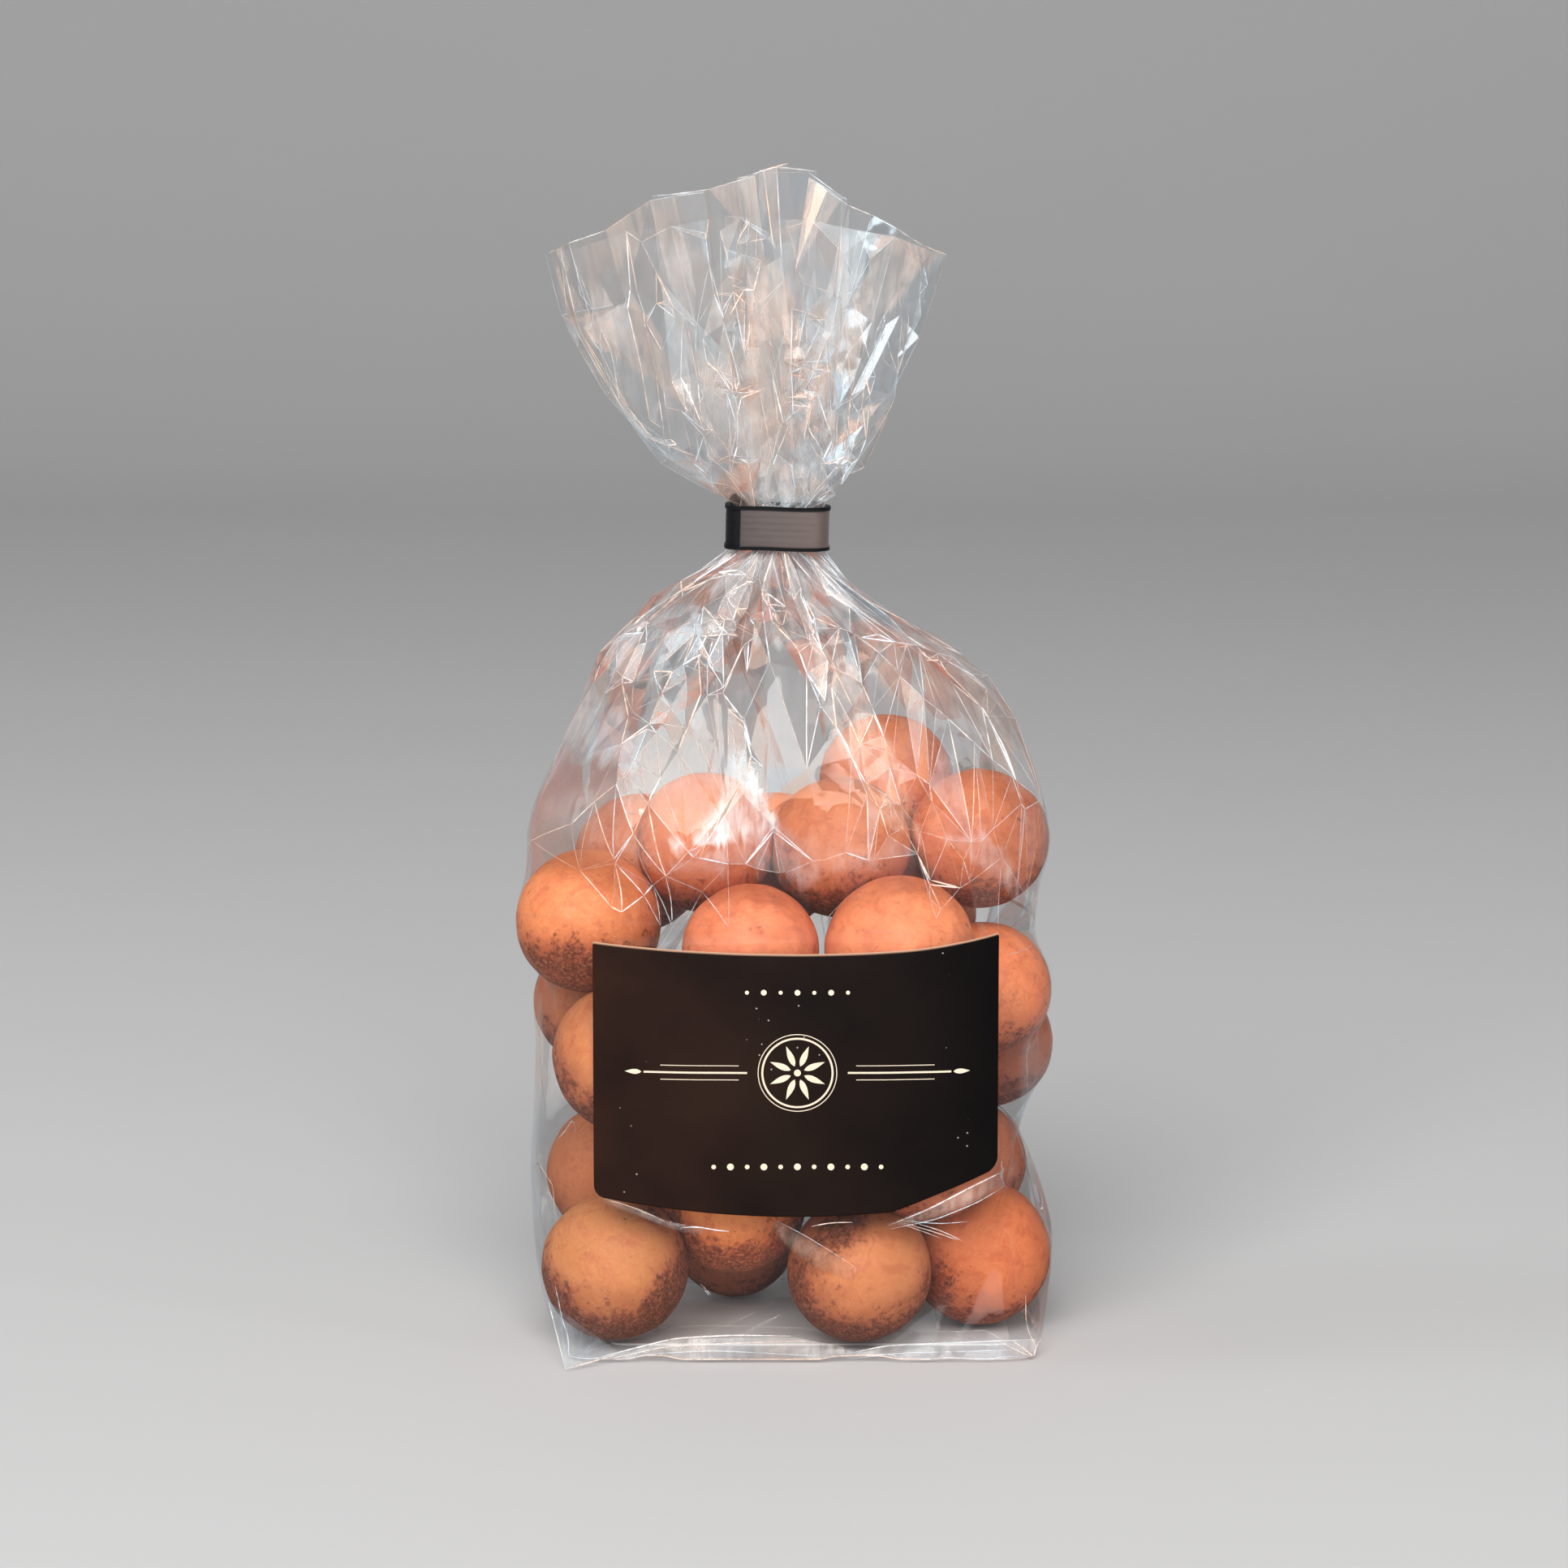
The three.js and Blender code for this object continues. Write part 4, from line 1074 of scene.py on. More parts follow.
    # each panel in small cells, nearly flat
    bary, sub = [], []
    n = cells
    num = {}
    for i in range(n + 1):
        for j in range(n + 1 - i):
            num[(i, j)] = len(bary)
            bary.append((1 - (i + j) / n, i / n, j / n))
    for i in range(n):
        for j in range(n - i):
            sub.append((num[(i, j)], num[(i + 1, j)], num[(i, j + 1)]))
            if i + j < n - 1:
                sub.append((num[(i + 1, j)], num[(i + 1, j + 1)], num[(i, j + 1)]))
    bary, sub = np.array(bary), np.array(sub)
    flat = np.einsum('kb,tbc->tkc', bary, P[T])
    uvs = np.einsum('kb,tbc->tkc', bary, C[T])
    curved = on_grid(X, s, uvs[..., 0], uvs[..., 1])
    kbend = np.interp(uvs[..., 1], *bend)[..., None]
    cells_at = flat * (1 - kbend) + curved * kbend
    m = len(bary)
    tri = (sub[None] + (np.arange(len(T)) * m)[:, None, None]).reshape(-1, 3)
    # creases between panels
    fn = np.cross(P[T[:, 1]] - P[T[:, 0]], P[T[:, 2]] - P[T[:, 0]])
    fn /= np.linalg.norm(fn, axis=1, keepdims=True) + 1e-9
    out = on_grid(N, s, C[T].mean(1)[:, 0], C[T].mean(1)[:, 1])
    flip = (fn * out).sum(1) < 0
    fn = np.where(flip[:, None], -fn, fn)
    tri = tri.reshape(len(T), -1, 3)
    tri[flip] = tri[flip][:, :, ::-1]
    tri = tri.reshape(-1, 3)
    sides = {}
    local = ((0, 1), (1, 2), (2, 0))
    along = {(0, 1): [num[(i, 0)] for i in range(n + 1)], (1, 2): [num[(n - i, i)] for i in range(n + 1)], (2, 0): [num[(0, n - i)] for i in range(n + 1)]}
    for t in range(len(T)):
        for a, b in local:
            sides.setdefault(tuple(sorted((int(uid[T[t, a]]), int(uid[T[t, b]])))), []).append((t, (a, b)))
    folds = []
    for k, L in sides.items():
        t, ab = L[0]
        ends = [T[t, ab[0]], T[t, ab[1]]]
        hand = all(kk[e] == 1 for e in ends)
        if len(L) == 1:
            v = C[ends, 1]
            if v.min() > S_TOP - 0.05:
                folds.append((t, along[ab], fn[t], 0.26 if P[ends, 1].mean() < -2 else 0.62, 1.0))
            continue
        ang = math.degrees(math.acos(float(np.clip((fn[L[0][0]] * fn[L[1][0]]).sum(), -1, 1))))
        folds.append((t, along[ab], fn[L[0][0]] + fn[L[1][0]], (min(1.0, max(0.0, ang - 6) / 55) + (0.30 if hand else 0)) * (0.80 if lo > S_NECK0 else 1.0), 1.3 if hand and lo < S_NECK0 else 1.0))
    haze = np.where(rng.uniform(0, 1, len(T)) < 0.12, rng.uniform(0.05, 0.16, len(T)), rng.uniform(0, 0.03, len(T)))
    haze *= np.interp(C[T].mean(1)[:, 1], [LOW_ZONE, LOW_ZONE + 14, 120, 300], [0.1, 0.3, 1, 1])
    tone = rng.uniform(0, 1, len(T))
    mid3 = P[T].mean(1)
    at = seen_at(cells_at)
    eye = np.array([0, -math.cos(ELEV), math.sin(ELEV)])
    near = ((out @ eye > 0.0) & (mid3[:, 1] < 6))[:, None]
    haze = np.repeat(haze[:, None], m, 1)
    tone = np.repeat(tone[:, None], m, 1)
    # painted reflections: the listed veils whiten and tint the front panels they cover
    for h_, tone_, *poly in PAINTED_REFLECTIONS:
        poly = np.array(poly, float)
        inside = np.zeros(at.shape[:2], bool)
        for (x0, y0), (x1, y1) in zip(poly, np.roll(poly, -1, 0)):
            cross = ((y0 > at[..., 1]) != (y1 > at[..., 1]))
            inside ^= cross & (at[..., 0] < (x1 - x0) * (at[..., 1] - y0) / (y1 - y0 + 1e-9) + x0)
        inside &= near
        own = np.broadcast_to(rng.uniform(0.6, 1.15, (len(T), 1)), inside.shape)
        haze[inside] = (h_ * (0.80 if lo > S_NECK0 else 0.92) * own)[inside]
        tone[inside] = np.clip(tone_ + (own - 0.9)[inside] * 0.3, 0, 1)
    return cells_at, uvs, tri, m, folds, haze, tone


def make_panels(X, s, N):
    rng = np.random.default_rng(17)
    hand = place_creases(X, s, N, 88, S_TOP)
    blocks = []
    # shoulders: from the filled body up to the clip
    lo, hi = LOW_ZONE, S_NECK0 + 1.5
    cols = fold_columns(X, s, (146, 154, 162), 46, 3 if X.shape[1] > 200 else 2)
    rings = []
    for U in cols:
        V = np.linspace(136 + rng.uniform(-6, 12), hi, 4)
        rings.append(np.c_[U + rng.normal(0, 0.5, 4) * [1, 1, .5, 0], V])
    for d in (-4.0, 4.0):
        V = np.linspace(lo, 134, 6)
        rings.append(np.c_[GIRTH * 0.25 + d + 0 * V, V])
    blocks.append(zone(X, s, N, lo, hi, rng, [h for h in hand if h[1][:, 1].mean() < S_NECK0], rings,
                       ([lo, 112, 140, 158, hi], [9.5, 10.5, 7.5, 4.2, 3.3]), ([lo, 112, 125, 140, hi], [1.2, 1.8, 2.3, 2.6, 2.8]),
                       ([lo, lo + 4, lo + 14, 116, 140, 158, hi], [0.0, 0.3, 0.6, 1.2, 1.5, 0.9, 0.1]), ([lo, lo + 3, lo + 12, 116, 130, hi], [1.0, .85, .5, .25, .12, .35]),
                       5, ((lo, 176), (hi, 60))))
    # fan: from the clip up to the cut top
    lo, hi = S_NECK1 - 1.5, S_TOP
    cols = fold_columns(X, s, (184, 196, 212, 234), 52, 3 if X.shape[1] > 200 else 2)
    rings = []
    for U in cols:
        V = np.array([lo, 180, 188, 198, 210, 224, hi])
        V[1:-1] += rng.uniform(-2.5, 2.5, 5)
        rings.append(np.c_[U + 0 * V, V])
    blocks.append(zone(X, s, N, lo, hi, rng, [h for h in hand if h[1][:, 1].mean() > S_NECK1], rings,
                       ([lo, 190, 200, 210, hi], [4.4, 7.0, 14.0, 60.0, 60.0]), ([lo, 200, hi], [2.2, 3.0, 3.4]),
                       ([lo, 178, 190, 205, hi], [0.1, .7, 1.1, 1.4, 1.5]), ([lo, hi], [0.12, 0.12]),
                       5, ((lo, 70),), ribs=0.85))
    return blocks


def weld(blocks, rng):
    """points, triangles and values of all panels, and the creases between them as raised lines"""
    V, T, tone, haze, uv, lines, first = [], [], [], [], [], [], 0
    for P, C, tri, m, folds, haze_, tone_ in blocks:
        n = len(P)
        Q = P.reshape(-1, 3).astype(f4)[None].copy()
        for bx, by, bz, br in BALLS[:, :4]:
            d = Q[0] - np.array([bx, by, bz], f4)
            l = np.linalg.norm(d, axis=1)
            k = l < br + 0.25
            Q[0][k] += d[k] * ((br + 0.25 - l[k]) / l[k])[:, None]
        Q = Q[0].astype(float)
        Q[:, 2] = np.maximum(Q[:, 2], 0.6)
        V.append(Q)
        T.append(tri + first)
        tone.append(tone_.reshape(-1))
        haze.append(haze_.reshape(-1))
        uv.append(C.reshape(-1, 2) * 0.001)
        for t, along, nrm, k, special in folds:
            idx = np.array(along) + t * m
            lines.append((Q[idx], nrm / (np.linalg.norm(nrm) + 1e-9), k, special))
        first += len(Q)
    return np.vstack(V), np.vstack(T), np.concatenate(tone), np.concatenate(haze), np.vstack(uv), lines


def make_film():
    X, s = simulate(BALLS[:, :4], log=False)
    rng = np.random.default_rng(77)
    nv, nu, _ = X.shape
    n = -normals(X)
    ctr = X.mean(1, keepdims=True)
    if ((X - ctr)[: nv // 2] * n[: nv // 2]).sum() < 0:
        n = -n
    # the tight body is evened out, most of all between the label and the shoulders
    k = np.interp(s, [0, 2, 6, 84, 92, 100, 112, 300], [0, 0, .22, .22, .5, .5, 0, 0])[1:-1, None, None]
    for it in range(34):
        D = (X[2:] + X[:-2]) / 2 - X[1:-1]
        if it % 2 == 0:
            D = D * 0.6 + 0.4 * ((np.roll(X, 1, 1) + np.roll(X, -1, 1))[1:-1] / 2 - X[1:-1])
        X[1:-1] += D * k
        if it % 4 == 3:
            Xf = X.astype(f4)
            balls_out(Xf, BALLS[:, :4], 0.3, s * 0.93)
            X = Xf.astype(float)
    # the tight body: bottom edge a little creased, the rest nearly smooth
    S = [0, 4, 12, 80, LOW_ZONE - 8, LOW_ZONE, 300]
    big = np.interp(s, S, [0, .05, .10, .10, .08, 0, 0])
    med = np.interp(s, S, [0, .07, .06, .05, .04, 0, 0])
    small = np.interp(s, S, [0, .04, .015, .01, .01, 0, 0])
    patch = 0.5 + 0.5 * np.sin(X[..., 0] * 0.11 + 1.3 + X[..., 2] * 0.05) * np.sin(X[..., 2] * 0.13 + X[..., 1] * 0.09)
    h = big[:, None] * crumple(X, rng, 27.0, 7)
    h = h + med[:, None] * (0.5 + patch) * crumple(X, rng, 12.5, 10)
    h = h + small[:, None] * (0.35 + 1.3 * patch) * crumple(X, rng, 6.0, 14)
    Y = X + n * h[..., None]
    # behind the front label the film stays flat
    zz, xx = X[..., 2], X[..., 0]
    m = (X[..., 1] < -18) & (xx > LAB['x0'] - 1.5) & (xx < LAB['x1'] + 1.5) & (zz > LAB['z0'] - 1.5) & (zz < LAB['z1'] + 1)
    Y[m] = X[m]
    Y = Y.astype(f4)
    balls_out(Y, BALLS[:, :4], 0.25, s * 0.93)
    Y[..., 2] = np.maximum(Y[..., 2], 0.6)
    Y = Y.astype(float)
    # shoulders and fan in flat panels
    V2, T2, tone2, haze2, uv2, lines = weld(make_panels(X, s, n), rng)
    body = int(np.searchsorted(s, LOW_ZONE - 1e-6)) + 1
    neck = np.where((s >= S_NECK0 - 1e-6) & (s <= S_NECK1 + 1e-6))[0]
    Z = Y[:body].reshape(-1, 3)
    K = X[neck].reshape(-1, 3)
    quads = np.vstack([grid_faces(body, nu), grid_faces(len(neck), nu, first=len(Z))])
    V = np.vstack([Z, K, V2])
    V = off_the_balls(V, 0.06)
    SURFACE.append(BVHTree.FromPolygons(V.tolist(), quads.tolist() + (T2 + len(Z) + len(K)).tolist()))
    o = mesh_object('film_bag', to_m(V), quads, T2 + len(Z) + len(K))
    number(o, 'crease', np.r_[dihedral(Y)[:body].reshape(-1) * 0.3, np.zeros(len(K)), haze2])
    crk = lambda v: np.interp(v, [0, 4, 12, 80, 100, 125, 150, 160, 166, 174, 180, 192, 205, 239], [.3, .30, .05, .02, .15, .35, .7, 1, 1, .8, .55, .3, .12, .08])
    s1 = np.repeat(s[:body], nu)
    number(o, 'crinkle', np.clip(np.r_[crk(s1) * (0.5 + 0.8 * patch[:body].reshape(-1)), np.ones(len(K)), crk(uv2[:, 1] * 1000) ], 0, 1))
    dull = lambda P: np.maximum(0.96 * np.exp(-((P[:, 2] - 82.5) / 7.5) ** 4), np.interp(P[:, 2], [0, 55, 74, 86], [.74, .70, .45, 0])) * np.clip((-4 - P[:, 1]) / 8, 0, 1)
    number(o, 'dull', np.r_[dull(Z), dull(K), np.maximum(dull(V2), np.interp(V2[:, 2], [150, 162, 190, 300], [0, .30, .42, .42]))])
    soft = 0.5 + 0.35 * np.sin(Z[:, 0] * 0.07 + Z[:, 2] * 0.05) * np.sin(Z[:, 2] * 0.06 + Z[:, 1] * 0.08)
    number(o, 'tone', np.r_[soft, np.full(len(K), 0.5), tone2])
    u1 = np.stack([np.arange(nu)[None, :] / nu * 0.309 + 0 * s[:body, None], s[:body, None] * 0.001 + np.zeros((1, nu))], -1).reshape(-1, 2)
    k1 = np.stack([np.arange(nu)[None, :] / nu * 0.309 + 0 * s[neck, None], s[neck, None] * 0.001 + np.zeros((1, nu))], -1).reshape(-1, 2)
    plain_uv(o, np.vstack([u1, k1, uv2]), 0.309)
    o.data.materials.append(film_material('clear_film', 0.010, crease_veil=1.0))
    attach(o, 'root')
    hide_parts('bag')
    return Y, s, lines


def make_seam(Y, s):
    """the film's overlapped back seam, a narrow second layer from the bottom up to the top of the tight body"""
    nv, nu, _ = Y.shape
    mid = int(round(nu * 0.25))
    w = max(3, int(round(nu * 4.0 / 309)))
    idx = np.arange(mid - w, mid + w + 1)
    n = -normals(Y)
    if (n[nv // 4, mid] * np.array([0, 1, 0])).sum() < 0:
        n = -n
    P = Y[:, idx] + n[:, idx] * 0.12
    keep = (s < LOW_ZONE)
    P = P[keep]
    o = mesh_object('film_back_seam', to_m(P.reshape(-1, 3)), grid_faces(P.shape[0], P.shape[1], closed=False))
    c = np.zeros(P.shape[:2])
    c[:, 0] = c[:, -1] = 0.8
    number(o, 'crease', c)
    number(o, 'crinkle', np.full(P.shape[:2], 0.15))
    number(o, 'tone', np.full(P.shape[:2], 0.45))
    uv = np.stack(np.broadcast_arrays(idx[None, :] / nu * 0.309, s[keep][:, None] * 0.001), -1)
    uv_map(o, uv.reshape(-1, 2))
    o.data.materials.append(film_material('film_seam', 0.06))
    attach(o, 'root')
    return o


def ribbons(paths, name, height, veil, crinkle=0.1):
    """thin raised lines along paths of (points, outward directions, width, strength)"""
    V, F, C, U, tone, first = [], [], [], [], [], 0
    for P, N, w, k in paths:
        m = len(P)
        T = np.gradient(P, axis=0)
        T /= np.linalg.norm(T, axis=1, keepdims=True) + 1e-9
        S = np.cross(T, N)
        S /= np.linalg.norm(S, axis=1, keepdims=True) + 1e-9
        t = np.linspace(0, 1, m)
        thin = np.clip(np.minimum(t, 1 - t) * 5, 0.3, 1)[:, None]
        rows = np.stack([P - S * 0.5 * w * thin, P + N * height * thin, P + S * 0.5 * w * thin], 1)
        V.append(rows.reshape(-1, 3))
        i = np.arange(m - 1)[:, None] * 3 + first
        for c in (0, 1):
            F.append(np.hstack([i + c, i + c + 1, i + c + 4, i + c + 3]))
        # the middle row is whitened by the line's strength: partly whitened film on the crease, partly a painted
        # highlight
        C.append(np.tile([0.15 * k, k, 0.15 * k], m))
        tone.append(np.full(3 * m, 0.5 + 0.5 * math.sin(first * 0.37)))
        U.append(np.c_[np.repeat(t * m * 0.001, 3), np.tile([0, 0.0003, 0.0006], m) + first * 0.001])
        first += 3 * m
    V = np.vstack(V)
    o = mesh_object(name, to_m(off_the_balls(V, 0.10)), np.vstack(F))
    number(o, 'crease', np.concatenate(C))
    number(o, 'crinkle', np.full(len(V), crinkle))
    number(o, 'tone', np.concatenate(tone))
    uv_map(o, np.vstack(U))
    o.data.materials.append(film_material(name, veil, crease_veil=0.85))
    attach(o, 'root')
    return o


def make_creases(Y, s, lines):
    rng = np.random.default_rng(31)
    paths = []
    for P, nrm, k, boost in lines:
        k = k * rng.uniform(0.45, 1.1) * boost
        if k < (0.14 if boost > 1 else 0.27):
            continue
        L = np.r_[0, np.cumsum(np.linalg.norm(np.diff(P, axis=0), axis=1))]
        if L[-1] < 1.2:
            continue
        paths.append((P + nrm * 0.03, np.broadcast_to(nrm, P.shape), 0.10 + 0.22 * min(k, 1.2), min(k, 1)))
    # creases of the tight body, listed, and a few at random on its sides and back
    N = -normals(Y)
    nv, nu, _ = Y.shape
    mid = Y.mean(1, keepdims=True)
    if ((Y - mid)[5:nv // 2] * N[5:nv // 2]).sum() < 0:
        N = -N
    low = [(w, P) for w, P in place_creases(Y, s, N, 1.0, LOW_ZONE - 2)]
    for _ in range(26):
        U, V = rng.uniform(-60, 190), rng.uniform(8, 84)
        ang = rng.uniform(0.5, 2.6)
        P = [(U, V)]
        for _k in range(2):
            l = rng.uniform(5, 14)
            P.append((P[-1][0] + l * math.cos(ang), P[-1][1] + l * math.sin(ang)))
            ang += rng.normal(0, 0.5)
        P = np.array(P)
        P[:, 1] = np.clip(P[:, 1], 2, LOW_ZONE - 3)
        low.append((rng.uniform(0.2, 0.4), P))
    for w, P in low:
        L = np.r_[0, np.cumsum(np.linalg.norm(np.diff(P, axis=0), axis=1))]
        q = np.linspace(0, L[-1], max(5, int(L[-1] / 0.9)))
        U, V = np.interp(q, L, P[:, 0]), np.interp(q, L, P[:, 1])
        Q, M = on_grid(Y, s, U, V), on_grid(N, s, U, V)
        if ((Q[:, 1] < -18) & (Q[:, 0] > -34) & (Q[:, 0] < 38) & (Q[:, 2] > 28) & (Q[:, 2] < 79)).any():
            continue
        M /= np.linalg.norm(M, axis=1, keepdims=True) + 1e-9
        paths.append((Q + M * 0.04, M, 0.10 + 0.3 * w, 0.4 + 0.8 * w))
    return ribbons(paths, 'film_creases', 0.07, 0.02)


def make_bottom(Y):
    """the block bottom: a flat sheet, with the folded flaps of its two sides and of its front on it"""
    ring0 = Y[0]
    nu = len(ring0)
    c = ring0.mean(0)
    rows = np.linspace(1, 0.0, 40)[:-1]
    P = []
    for k in rows:
        q = c + (ring0 - c) * k
        wave = 0.30 * np.sin(q[:, 0] * 0.21 + 0.7) * np.sin(q[:, 1] * 0.33 + 1.0) + 0.16 * crumple(q, np.random.default_rng(4), 9.0, 6, (50, 30, 5), (0, 0, 0))
        q[:, 2] = 0.72 + np.clip((1 - k) * 14, 0, 1) * np.maximum(wave + 0.25, 0.0)
        P.append(q)
    P = np.array(P)
    faces = grid_faces(len(P), nu)
    tip = np.array([[c[0], c[1], 0.75]])
    last = (len(P) - 1) * nu
    tris = [[last + i, last + (i + 1) % nu, len(P) * nu] for i in range(nu)]
    V = np.vstack([P.reshape(-1, 3), tip])
    o = mesh_object('film_bottom', to_m(V), faces, np.array(tris))
    number(o, 'crease', np.zeros(len(V)))
    number(o, 'crinkle', np.full(len(V), 0.45))
    number(o, 'tone', np.full(len(V), 0.5))
    uv_map(o, V[:, :2] * 0.001)
    o.data.materials.append(film_material('film_bottom', 0.0, gloss_amount=0.04))
    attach(o, 'root')
    # flaps: left, right and front, each a doubled sheet that lies on the bottom, edges a little up
    l, r = ring0[:, 0].min() + 1.2, ring0[:, 0].max() - 1.2
    f, b = ring0[:, 1].min() + 1.0, ring0[:, 1].max() - 1.0
    sheets = []

    def flap(edge_a, edge_b, tip_a, tip_b, lift, z0, nu=48, nv=20, seed=0):
        rng = np.random.default_rng(seed)
        u = np.linspace(0, 1, nu)[None, :, None]
        v = np.linspace(0, 1, nv)[:, None, None]
        A = np.array(edge_a) + (np.array(edge_b) - np.array(edge_a)) * u
        B = np.array(tip_a) + (np.array(tip_b) - np.array(tip_a)) * u
        Q = A + (B - A) * v
        z = z0 + lift * v[..., 0] ** 2 * (0.6 + 0.4 * np.sin(u[..., 0] * 7 + seed)) + 0.12 * np.sin(u[..., 0] * 23 + seed) * v[..., 0]
        P = np.concatenate([Q, z[..., None]], -1)
        P[..., 2] += 0.10 * crumple(P, rng, 7.0, 5, (50, 30, 5), (0, 0, 0)) * v[..., 0]
        sheets.append(P)

    flap((l, f), (l, b), (l + 17, f + 17), (l + 17, b - 17), 0.5, 1.0, seed=1)
    flap((r, b), (r, f), (r - 17, b - 17), (r - 17, f + 17), 0.5, 1.0, seed=2)
    flap((r, f), (l, f), (r - 8, f + 15), (l + 9, f + 17), 1.1, 1.15, nu=90, seed=3)
    flap((l, b), (r, b), (l + 9, b - 19), (r - 8, b - 18), 0.7, 1.25, nu=90, seed=4)
    V, F, C, U, first = [], [], [], [], 0
    for P in sheets:
        F.append(grid_faces(P.shape[0], P.shape[1], closed=False, first=first))
        c_ = np.zeros(P.shape[:2])
        c_[-1] = 0.9
        c_[:, 0] = c_[:, -1] = 0.6
        V.append(P.reshape(-1, 3))
        C.append(c_.reshape(-1))
        U.append(P[..., :2].reshape(-1, 2) * 0.001)
        first += P.shape[0] * P.shape[1]
    V = np.vstack(V)
    o2 = mesh_object('film_flaps', to_m(V), np.vstack(F))
    number(o2, 'crease', np.concatenate(C))
    number(o2, 'crinkle', np.full(len(V), 0.35))
    number(o2, 'tone', np.full(len(V), 0.4))
    uv_map(o2, np.vstack(U))
    o2.data.materials.append(film_material('film_flaps', 0.01, gloss_amount=0.08))
    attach(o2, 'root')
    return o, o2


def point_at(px, py, y):
    """x and z in mm of what is seen at px, py, when its y is known"""
    k = (966 - py) / 6037.5
    c, s_ = math.cos(ELEV), math.sin(ELEV)
    dz = (k * (DIST + y * c) - y * s_) / (c + k * s_)
    deep = DIST + y * c - dz * s_
    return (px - 966) / 6037.5 * deep, AIM[2] + dz


